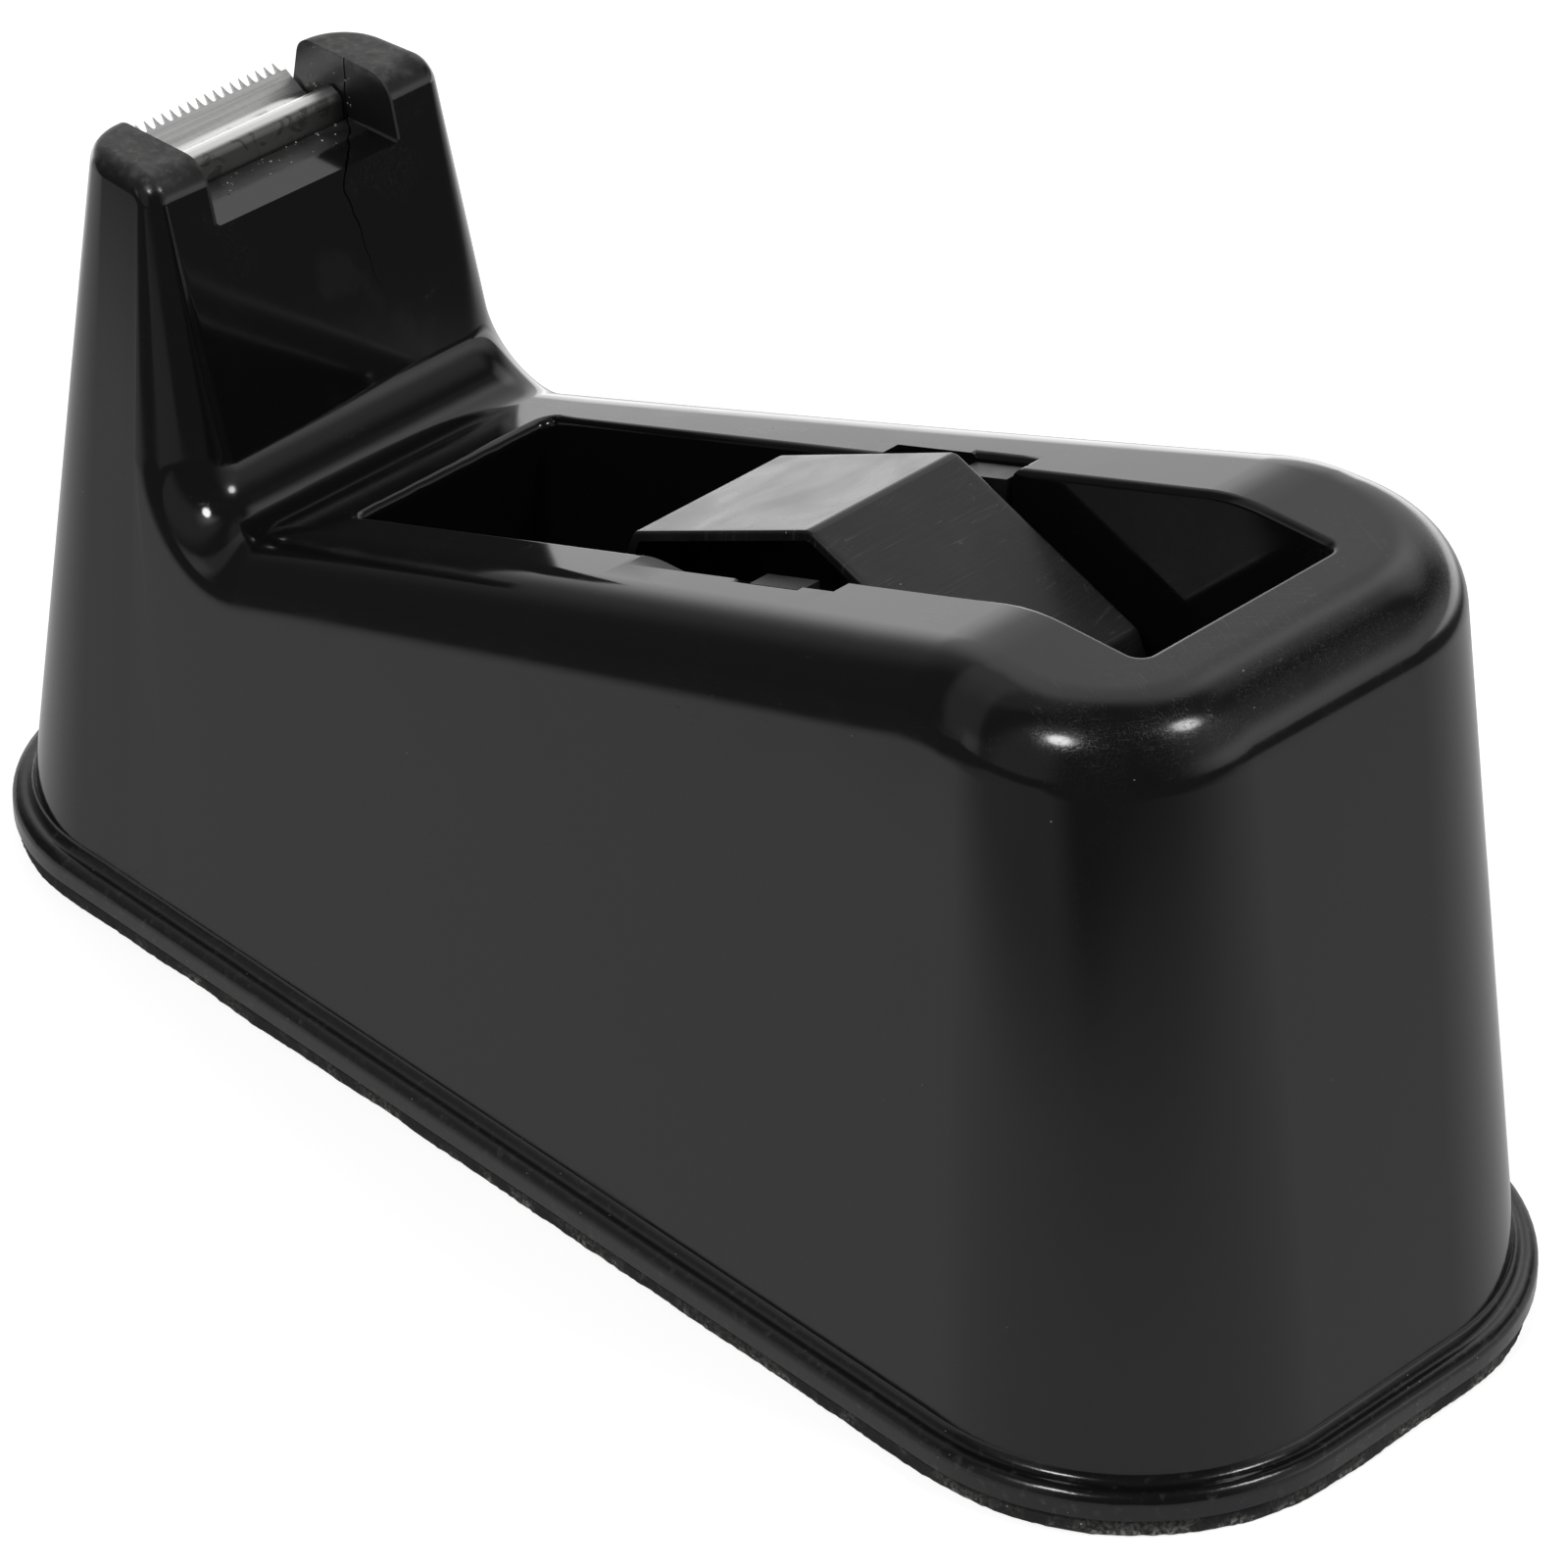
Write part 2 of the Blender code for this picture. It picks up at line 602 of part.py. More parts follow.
def ballast(iron):
    """Cast weights that fill the hollow round the well, split into four pieces."""
    bm = bmesh.new()
    grow = WELL_WALL + BALLAST_PLAY
    add_prism(bm, well_outline(grow), upright, 0.0, FAR)
    wide = GROOVE_HALF + GROOVE_WALL + BALLAST_PLAY
    half = WELL_HALF + GROOVE_DEPTH + GROOVE_WALL + BALLAST_PLAY
    keep_clear = as_cutter(add_object("clear_well", bm))
    bm = bmesh.new()
    add_box(bm, (DRUM_X - wide, -half, GROOVE_FLOOR_Z - GROOVE_WALL - BALLAST_PLAY), (DRUM_X + wide, half, FAR))
    clear_grooves = as_cutter(add_object("clear_grooves", bm))
    bm = bmesh.new()
    for x, y in screw_places():
        add_prism(bm, circle(x, y, POST_RADIUS + BALLAST_PLAY, 16), upright, 0.0, FAR)
    clear_posts = as_cutter(add_object("clear_posts", bm))
    split = 2.0 * MM
    front = WELL_FRONT_X - grow
    rear = WELL_REAR_X + grow
    spans = {
        "ballast_front": ((-FAR, -FAR), (front - split, FAR), BALLAST_TOP["front"]),
        "ballast_near": ((front, -FAR), (rear - split, 0.0), BALLAST_TOP["side"]),
        "ballast_far": ((front, 0.0), (rear - split, FAR), BALLAST_TOP["side"]),
        "ballast_rear": ((rear, -FAR), (FAR, FAR), BALLAST_TOP["rear"]),
    }
    low = FLANGE_Z + PLATE_HEIGHT + GAP
    for name, (start, end, top) in spans.items():
        bm = bmesh.new()
        Body(WALL + BALLAST_PLAY, TOWER_INNER_Z - BALLAST_PLAY).add_to(bm, open_rings)
        weight = add_object(name, bm, iron)
        bm = bmesh.new()
        add_box(bm, (*start, low), (*end, top))
        boolean(weight, as_cutter(add_object("span_" + name, bm)), 'INTERSECT')
        for tool in (keep_clear, clear_grooves, clear_posts):
            boolean(weight, tool)


# ---------------------------------------------------------------- blade
def blade(steel):
    """Pressed strip: toothed lip, trough, round hump and a leg down into the housing."""
    top = rounded_path(BLADE_PATH, BLADE_BENDS, 5)
    under = [(p - n * BLADE_SHEET) for p, n in top]
    over = [p for p, _ in top]
    bm = bmesh.new()
    lip = (Vector(BLADE_PATH[0]) - Vector(BLADE_PATH[1])).normalized() * TOOTH_HEIGHT
    first_y = -0.5 * TEETH * TOOTH_PITCH
    stations = [(-BLADE_HALF, 0.0)]
    for tooth in range(TEETH):
        y = first_y + tooth * TOOTH_PITCH
        stations += [(y + 0.01 * MM, 0.0), (y + TOOTH_PITCH / 2, 1.0)]
    stations += [(first_y + TEETH * TOOTH_PITCH, 0.0), (BLADE_HALF, 0.0)]
    edges = []
    for start in (over[0], under[0]):
        row = []
        for y, reach in stations:
            tip = start + lip * reach
            row.append(bm.verts.new((tip.x, y, tip.y)))
        edges.append(row)
    for i in range(len(stations) - 1):
        bm.faces.new((edges[0][i], edges[0][i + 1], edges[1][i + 1], edges[1][i]))
    sides = []
    for line in (over[1:], under[1:]):
        sides.append([(bm.verts.new((p.x, -BLADE_HALF, p.y)), bm.verts.new((p.x, BLADE_HALF, p.y)))
                      for p in line])
    for row, pairs in zip(edges, sides):
        bm.faces.new(row + [pairs[0][1], pairs[0][0]])
        for a, b in zip(pairs, pairs[1:]):
            bm.faces.new((a[0], a[1], b[1], b[0]))
    for end, corner in ((0, 0), (1, -1)):
        bm.faces.new((edges[0][corner], edges[1][corner], sides[1][0][end], sides[0][0][end]))
        for i in range(len(over) - 2):
            bm.faces.new((sides[0][i][end], sides[1][i][end], sides[1][i + 1][end], sides[0][i + 1][end]))
    bm.faces.new((sides[0][-1][0], sides[0][-1][1], sides[1][-1][1], sides[1][-1][0]))
    return add_object("blade", bm, steel)


# ---------------------------------------------------------------- drum and axle
def octagon(radius, corner=0.0):
    """Octagon in the drum's own side view, with its corners rounded if asked."""
    sharp = [Vector((radius * math.sin(2 * math.pi * i / DRUM_SIDES),
                     radius * math.cos(2 * math.pi * i / DRUM_SIDES))) for i in range(DRUM_SIDES)]
    if not corner:
        return [tuple(p) for p in sharp]
    half = math.pi * (DRUM_SIDES - 2) / DRUM_SIDES / 2
    outline = []
    for i, tip in enumerate(sharp):
        centre = tip - tip.normalized() * (corner / math.sin(half))
        facing = math.atan2(tip.x, tip.y)
        for k in range(4):
            angle = facing + (2 * math.pi / DRUM_SIDES) * (k / 3 - 0.5)
            outline.append((centre.x + corner * math.sin(angle), centre.y + corner * math.cos(angle)))
    return outline


def drum_sectors():
    """Outlines of the eight hollows between the ribs."""
    inner = DRUM_RADIUS - DRUM_SHELL / math.cos(math.pi / DRUM_SIDES)
    sectors = []
    step = 2 * math.pi / DRUM_SIDES
    for i in range(DRUM_SIDES):
        start, end = i * step, (i + 1) * step
        outline = []
        for angle, side in ((start, 1), (end, -1)):
            radial = Vector((math.sin(angle), math.cos(angle)))
            square = Vector((math.cos(angle), -math.sin(angle))) * side
            outline.append((radial, square))
        (r0, s0), (r1, s1) = outline
        rim = inner - RIB_HALF * math.tan(math.pi / DRUM_SIDES)
        hub = BOSS_RADIUS
        points = [r0 * rim + s0 * RIB_HALF, r1 * rim + s1 * RIB_HALF]
        slip = math.asin(RIB_HALF / hub)
        for k in range(4):
            angle = end - slip - (step - 2 * slip) * k / 3
            points.append(Vector((math.sin(angle), math.cos(angle))) * hub)
        sectors.append([tuple(p) for p in points])
    return sectors


def drum(plastic, holder):
    """Octagonal core drum: thin shell, web, ribs and a bored boss."""
    bm = bmesh.new()
    add_prism(bm, octagon(DRUM_RADIUS, DRUM_CORNER), across, -DRUM_HALF, DRUM_HALF)
    body = add_object("drum", bm, plastic)
    inner = DRUM_RADIUS - DRUM_SHELL / math.cos(math.pi / DRUM_SIDES)
    bm = bmesh.new()
    for side in (-1, 1):
        ends = sorted((side * (DRUM_HALF - DRUM_LIP), side * (DRUM_HALF + MM)))
        add_prism(bm, octagon(inner + FITTED), across, *ends)
    lip = as_cutter(add_object("cut_drum_lip", bm))
    bm = bmesh.new()
    add_prism(bm, circle(0.0, 0.0, BOSS_RADIUS - BOSS_STEP, 32), across, -DRUM_HALF - 2 * MM, DRUM_HALF + 2 * MM)
    boolean(lip, as_cutter(add_object("keep_boss", bm)))
    bm = bmesh.new()
    for side in (-1, 1):
        ends = sorted((side * WEB_HALF, side * (DRUM_HALF - DRUM_LIP + 0.1 * MM)))
        for sector in drum_sectors():
            add_prism(bm, sector, across, *ends)
    hollows = as_cutter(add_object("cut_drum_hollows", bm))
    bm = bmesh.new()
    for side in (-1, 1):
        ends = sorted((side * (DRUM_HALF - BUSH_LENGTH), side * (DRUM_HALF + MM)))
        add_prism(bm, circle(0.0, 0.0, BUSH_RADIUS + FITTED, 32), across, *ends)
    seats = as_cutter(add_object("cut_bush_seats", bm))
    bm = bmesh.new()
    add_prism(bm, circle(0.0, 0.0, AXLE_RADIUS + 3 * FITTED, 32), across, -DRUM_HALF, DRUM_HALF)
    bore = as_cutter(add_object("cut_drum_bore", bm))
    for tool in (lip, hollows, seats, bore):
        boolean(body, tool)
        tool.parent = holder
    bpy.data.objects["keep_boss"].parent = holder
    body.parent = holder
    return body


def bushes(plastic, holder):
    """Flanged bearing bushes pushed into both ends of the boss."""
    bore = AXLE_RADIUS + RUNNING
    flange = DRUM_HALF + GAP
    profile = ((bore, DRUM_HALF - BUSH_LENGTH + GAP), (BUSH_RADIUS, DRUM_HALF - BUSH_LENGTH + GAP),
               (BUSH_RADIUS, flange), (BUSH_FLANGE, flange), (BUSH_FLANGE, flange + BUSH_FLANGE_HEIGHT),
               (bore, flange + BUSH_FLANGE_HEIGHT))
    for name, turn in (("bush_near", 90), ("bush_far", -90)):
        bm = bmesh.new()
        add_turned(bm, profile, Matrix.Rotation(math.radians(turn), 4, 'X'), 32)
        add_object(name, bm, plastic).parent = holder


def axle(steel, holder):
    """Steel pin with a reduced spigot at each end."""
    shoulder = TONGUE_INNER_Y - GAP
    chamfer = 0.4 * MM
    profile = ((0.0, -SPIGOT_END_Y), (SPIGOT_RADIUS - chamfer, -SPIGOT_END_Y),
               (SPIGOT_RADIUS, -SPIGOT_END_Y + chamfer), (SPIGOT_RADIUS, -shoulder),
               (AXLE_RADIUS, -shoulder), (AXLE_RADIUS, shoulder), (SPIGOT_RADIUS, shoulder),
               (SPIGOT_RADIUS, SPIGOT_END_Y - chamfer), (SPIGOT_RADIUS - chamfer, SPIGOT_END_Y),
               (0.0, SPIGOT_END_Y))
    bm = bmesh.new()
    add_turned(bm, profile, Matrix.Rotation(math.radians(90), 4, 'X'), 32)
    pin = add_object("axle", bm, steel)
    pin.parent = holder


def washers(steel, holder):
    """Thrust washers between the bushes and the tongues."""
    low = DRUM_HALF + 2 * GAP + BUSH_FLANGE_HEIGHT
    bore = AXLE_RADIUS + FITTED
    profile = ((bore, low), (WASHER_RADIUS, low), (WASHER_RADIUS, low + WASHER_HEIGHT), (bore, low + WASHER_HEIGHT))
    for name, turn in (("washer_near", 90), ("washer_far", -90)):
        bm = bmesh.new()
        add_turned(bm, profile, Matrix.Rotation(math.radians(turn), 4, 'X'), 32)
        add_object(name, bm, steel).parent = holder


def tongues(plastic, holder):
    """Slide plates on the axle's ends: round foot, straight sides, top cut to the deck's slope."""
    for name, side in (("tongue_near", -1), ("tongue_far", 1)):
        foot_z = GROOVE_FLOOR_Z + GAP
        outline = []
        for k in range(9):
            angle = math.pi * (1 + k / 8)
            outline.append((TONGUE_HALF * math.cos(angle), foot_z + TONGUE_HALF * (1 + math.sin(angle)) - DRUM_Z))
        for x in (TONGUE_HALF, -TONGUE_HALF):
            outline.append((x, deck_height(DRUM_X + x) - TONGUE_SINK - DRUM_Z))
        bm = bmesh.new()
        ends = sorted((side * TONGUE_INNER_Y, side * TONGUE_OUTER_Y))
        add_prism(bm, outline, across, *ends)
        tongue = add_object(name, bm, plastic)
        bm = bmesh.new()
        ends = sorted((side * (TONGUE_INNER_Y - MM), side * (SPIGOT_END_Y + GAP)))
        add_prism(bm, circle(0.0, 0.0, SPIGOT_RADIUS + FITTED, 32), across, *ends)
        socket = as_cutter(add_object("cut_socket_" + name, bm))
        boolean(tongue, socket)
        for made in (tongue, socket):
            made.parent = holder


def pivot(name, parent=None, turn=0.0):
    """Empty on the drum's axis that carries a moving body."""
    empty = bpy.data.objects.new(name, None)
    bpy.context.scene.collection.objects.link(empty)
    if parent:
        empty.parent = parent
    else:
        empty.location = (DRUM_X, 0.0, DRUM_Z)
    empty.rotation_euler = (0.0, turn, 0.0)
    return empty


def main():
    for old in list(bpy.data.objects):
        bpy.data.objects.remove(old, do_unlink=True)
    gloss = material("black_gloss_plastic", (0.012, 0.012, 0.013), 0.22)
    drum_black = material("black_drum_plastic", (0.02, 0.02, 0.021), 0.3)
    slide = material("black_slide_plastic", (0.03, 0.03, 0.032), 0.4)
    bright = material("bright_blade_steel", (0.78, 0.78, 0.77), 0.18, 1.0)
    zinc = material("zinc_plated_steel", (0.6, 0.6, 0.62), 0.35, 1.0)
    iron = material("cast_ballast", (0.12, 0.12, 0.12), 0.75, 0.6)
    foam = material("black_foot_foam", (0.03, 0.03, 0.03), 0.95)
    bush = material("pale_bush_plastic", (0.55, 0.53, 0.48), 0.5)

    housing(gloss)
    base_plate(zinc)
    base_screws(zinc)
    foot_pad(foam)
    ballast(iron)
    blade(bright)

    lift = pivot("pivot_lift")
    axle(zinc, lift)
    washers(zinc, lift)
    tongues(slide, lift)
    spin = pivot("pivot_spin", lift, DRUM_TURN)
    drum(drum_black, spin)
    bushes(bush, spin)


main()
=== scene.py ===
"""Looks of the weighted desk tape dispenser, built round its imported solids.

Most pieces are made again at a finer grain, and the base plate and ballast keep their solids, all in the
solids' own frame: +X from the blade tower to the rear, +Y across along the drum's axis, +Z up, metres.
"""
import json
import logging
import math
import random
from dataclasses import dataclass, field
from enum import Enum
from functools import reduce
from typing import Any, Callable, Iterable, Sequence

import bmesh
import bpy
from mathutils import Matrix, Vector, noise
from mathutils.bvhtree import BVHTree


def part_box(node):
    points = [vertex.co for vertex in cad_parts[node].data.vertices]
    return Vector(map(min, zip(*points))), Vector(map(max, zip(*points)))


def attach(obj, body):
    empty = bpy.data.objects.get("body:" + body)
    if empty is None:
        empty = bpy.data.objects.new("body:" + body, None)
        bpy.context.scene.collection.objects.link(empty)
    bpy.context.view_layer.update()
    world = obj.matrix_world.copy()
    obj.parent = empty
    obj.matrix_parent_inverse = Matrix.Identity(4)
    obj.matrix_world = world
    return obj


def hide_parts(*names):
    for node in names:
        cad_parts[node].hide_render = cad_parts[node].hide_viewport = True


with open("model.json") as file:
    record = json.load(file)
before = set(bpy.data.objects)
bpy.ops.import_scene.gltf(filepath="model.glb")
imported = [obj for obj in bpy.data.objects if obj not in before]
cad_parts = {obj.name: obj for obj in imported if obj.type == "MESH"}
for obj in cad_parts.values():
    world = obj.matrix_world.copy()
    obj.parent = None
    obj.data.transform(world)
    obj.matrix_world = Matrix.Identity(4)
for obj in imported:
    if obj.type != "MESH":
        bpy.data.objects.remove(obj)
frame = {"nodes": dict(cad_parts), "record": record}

LOG = logging.getLogger("dispenser")
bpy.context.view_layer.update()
MM = 0.001
BEYOND = 0.3                               # well outside the part on every side
ABOVE = 0.15                               # clear of the part's top and front
SMOOTH = 30.0                              # edges below this angle, in degrees, are shaded smooth
SCREWS = 6
TOUCH = 0.01 * MM
NIL = 1e-9
SHARP = math.radians(35)                   # edges of new pieces above this angle are eased

Piece = bpy.types.Object
Mesh = bmesh.types.BMesh
Material = bpy.types.Material
Socket = bpy.types.NodeSocket
Point2 = tuple[float, float]
Point3 = tuple[float, float, float]
Outline = Sequence[Point2]
Placing = Callable[[float, float, float], Vector]


# ---------------- mesh workshop
class End(Enum):
    """End of the housing."""

    FRONT = "front"
    REAR = "rear"


class Side(Enum):
    """Long side of the housing, by the sign of its y."""

    NEAR = -1
    FAR = 1

    @property
    def word(self) -> str:
        """The side's name in the names of its pieces."""
        return self.name.lower()

    def span(self, inner: float, outer: float) -> list[float]:
        """Lowest and highest y of a stretch on this side."""
        return sorted((self.value * inner, self.value * outer))


def upright(u: float, v: float, w: float) -> Vector:
    """Place a plan outline, extruded up."""
    return Vector((u, v, w))


def across(u: float, v: float, w: float) -> Vector:
    """Place a side-view outline, extruded across the part."""
    return Vector((u, w, v))


def left_normal(run: Vector) -> Vector:
    """Unit normal on the left of a 2D direction."""
    return Vector((-run.y, run.x)).normalized()


def circle(u: float, v: float, radius: float, count: int = 48) -> list[Point2]:
    """Points of a regular polygon round a centre."""
    angles = [2 * math.pi * (i + 0.5) / count for i in range(count)]
    return [(u + radius * math.cos(a), v + radius * math.sin(a)) for a in angles]


def quarter_round(radius: float, steps: int) -> list[Point2]:
    """Quarter arc from flat to upright: distance still drawn in, and rise, at each stop."""
    turns = [0.5 * math.pi * k / steps for k in range(steps + 1)]
    return [(radius * (1 - math.sin(turn)), radius * (1 - math.cos(turn))) for turn in turns]


def rounded_path(corners: Sequence[Any], radii: Sequence[float], steps: int) -> list[tuple[Vector, Vector]]:
    """Run along a polyline whose inner corners become arcs.

    Args:
        corners: The polyline's 2D corners.
        radii: One radius for each inner corner.
        steps: Facets in each arc.

    Returns:
        Points with their left-hand unit normals.
    """
    corners = [Vector(c) for c in corners]
    path = [(corners[0], left_normal(corners[1] - corners[0]))]
    for i, radius in enumerate(radii, start=1):
        back = (corners[i - 1] - corners[i]).normalized()
        ahead = (corners[i + 1] - corners[i]).normalized()
        half = back.angle(ahead) / 2
        centre = corners[i] + (back + ahead).normalized() * (radius / math.sin(half))
        start = corners[i] + back * (radius / math.tan(half)) - centre
        end = corners[i] + ahead * (radius / math.tan(half)) - centre
        sweep = math.atan2(start.x * end.y - start.y * end.x, start.dot(end))
        side = 1.0 if start.dot(left_normal(-back)) > 0 else -1.0
        for k in range(steps + 1):
            arm = Matrix.Rotation(sweep * k / steps, 2) @ start
            path.append((centre + arm, side * arm.normalized()))
    path.append((corners[-1], left_normal(corners[-1] - corners[-2])))
    return path


class Bench:
    """Turns bmeshes into objects and joins, cuts and dresses them."""

    @staticmethod
    def make(name: str, bm: Mesh, smooth: float = SMOOTH) -> Piece:
        """Close a bmesh into a named, linked object.

        Args:
            name: Object name.
            bm: The mesh; it is freed.
            smooth: Angle in degrees below which edges are shaded smooth.

        Returns:
            The new object.
        """
        bmesh.ops.recalc_face_normals(bm, faces=bm.faces)
        mesh = bpy.data.meshes.new(name)
        bm.to_mesh(mesh)
        bm.free()
        mesh.shade_smooth()
        mesh.set_sharp_from_angle(angle=math.radians(smooth))
        made = bpy.data.objects.new(name, mesh)
        bpy.context.scene.collection.objects.link(made)
        return made

    @staticmethod
    def prism(bm: Mesh, outline: Outline, place: Placing, low: float, high: float) -> Mesh:
        """Extrude a 2D outline between two lengths.

        Args:
            bm: Mesh to add to.
            outline: Closed 2D outline.
            place: Maps (u, v, length) to space.
            low: Length at the first cap.
            high: Length at the second cap.

        Returns:
            The mesh.
        """
        first = [bm.verts.new(place(u, v, low)) for u, v in outline]
        last = [bm.verts.new(place(u, v, high)) for u, v in outline]
        bm.faces.new(first)
        bm.faces.new(last)
        Bench.bridge(bm, first, last)
        return bm

    @staticmethod
    def bridge(bm: Mesh, first: Sequence[Any], last: Sequence[Any]) -> None:
        """Join two closed rings of the same length with quads."""
        for a, b, c, d in zip(first, (*first[1:], first[0]), (*last[1:], last[0]), last):
            bm.faces.new((a, b, c, d))

    @staticmethod
    def block(name: str, outline: Outline, place: Placing, low: float, high: float) -> Piece:
        """Object made of one extruded outline."""
        return Bench.make(name, Bench.prism(bmesh.new(), outline, place, low, high))

    @staticmethod
    def skinned(name: str, loops: Sequence[Sequence[Vector]], smooth: float = SMOOTH) -> Piece:
        """Object skinned from closed loops of points, capped at both ends.

        Args:
            name: Object name.
            loops: Closed loops of the same length, end to end.
            smooth: Angle in degrees below which edges are shaded smooth.

        Returns:
            The new object.
        """
        bm = bmesh.new()
        rings = [[bm.verts.new(p) for p in loop] for loop in loops]
        for lower, upper in zip(rings, rings[1:]):
            Bench.bridge(bm, lower, upper)
        bm.faces.new(rings[0])
        bm.faces.new(rings[-1])
        return Bench.make(name, bm, smooth)

    @staticmethod
    def turned(name: str, profile: Outline, axis: Matrix, count: int = 64) -> Piece:
        """Object spun from a closed (radius, height) profile.

        Args:
            name: Object name.
            profile: Closed (radius, height) outline.
            axis: Frame whose Z is the axis.
            count: Facets round it.

        Returns:
            The new object.
        """
        bm = bmesh.new()
        verts = [bm.verts.new(axis @ Vector((r, 0.0, h))) for r, h in profile]
        edges = [bm.edges.new((verts[i - 1], verts[i])) for i in range(len(verts))
                 if profile[i - 1][0] > 0 or profile[i][0] > 0]
        bmesh.ops.spin(bm, geom=verts + edges, cent=axis.translation, steps=count,
                       axis=axis.to_3x3() @ Vector((0, 0, 1)), angle=2 * math.pi)
        bmesh.ops.remove_doubles(bm, verts=bm.verts, dist=0.001 * MM)
        return Bench.make(name, bm)

    @staticmethod
    def cut(target: Piece, tools: Iterable[Piece]) -> None:
        """Cut tools out of the target's mesh, exactly, and throw them away.

        Args:
            target: Object that keeps the result.
            tools: Objects used as cutters, in order.
        """
        for tool in tools:
            step = target.modifiers.new(tool.name, 'BOOLEAN')
            step.operation = 'DIFFERENCE'
            step.solver = 'EXACT'
            step.object = tool
            Bench.settle(target)
            bpy.data.objects.remove(tool)

    @staticmethod
    def settle(target: Piece) -> None:
        """Apply every modifier of an object to its mesh.

        Args:
            target: The object.
        """
        graph = bpy.context.evaluated_depsgraph_get()
        graph.update()
        mesh = bpy.data.meshes.new_from_object(target.evaluated_get(graph))
        target.modifiers.clear()
        old = target.data
        target.data = mesh
        mesh.name = target.name
        bpy.data.meshes.remove(old)

    @staticmethod
    def facet(target: Piece) -> None:
        """Split every face into triangles, so that later cuts meet exact planes.

        Args:
            target: The object.
        """
        bm = bmesh.new()
        bm.from_mesh(target.data)
        bmesh.ops.triangulate(bm, faces=bm.faces)
        bm.to_mesh(target.data)
        bm.free()

    @staticmethod
    def polish(target: Piece, smooth: float = SMOOTH) -> Piece:
        """Clean a cut mesh and give it normals that keep its flat faces flat.

        Args:
            target: Object to finish.
            smooth: Angle in degrees below which edges are shaded smooth.

        Returns:
            The same object.
        """
        bm = bmesh.new()
        bm.from_mesh(target.data)
        bmesh.ops.remove_doubles(bm, verts=bm.verts, dist=0.002 * MM)
        bmesh.ops.dissolve_degenerate(bm, edges=bm.edges, dist=0.001 * MM)
        bm.to_mesh(target.data)
        bm.free()
        target.data.shade_smooth()
        target.data.set_sharp_from_angle(angle=math.radians(smooth))
        step = target.modifiers.new("weighted", 'WEIGHTED_NORMAL')
        step.keep_sharp = True
        step.weight = 100
        Bench.settle(target)
        return target


# ---------------- the drafted form
@dataclass(frozen=True)
class WallPlan:
    """Rounded trapezoid: one horizontal section of the walls."""

    front: float
    rear: float
    half_front: float
    half_rear: float
    round_front: float
    round_rear: float

    @property
    def taper(self) -> float:
        """Growth of the half width for each unit towards the rear."""
        return (self.half_rear - self.half_front) / (self.rear - self.front)

    def towards(self, other: "WallPlan", share: float, inset: float) -> "WallPlan":
        """Section between this plan and another, drawn in by an inset.

        Args:
            other: Plan at the other end.
            share: Share of the way there.
            inset: How far the walls move in.

        Returns:
            The section.
        """
        mixed = {key: value + (getattr(other, key) - value) * share for key, value in vars(self).items()}
        mixed["front"] += inset
        mixed["rear"] -= inset
        mixed["half_front"] -= inset
        mixed["half_rear"] -= inset
        for key in ("round_front", "round_rear"):
            mixed[key] = max(mixed[key] - inset, MM)
        return WallPlan(**mixed)


@dataclass(frozen=True)
class Station:
    """One stop of the rolling edge that joins wall and top."""

    centre: Vector
    wall: Vector
    top: Vector
    radius: float
    corner: tuple[End, float] | None

    @property
    def rim(self) -> Vector:
        """Where the round meets the top."""
        return self.centre + self.top * self.radius


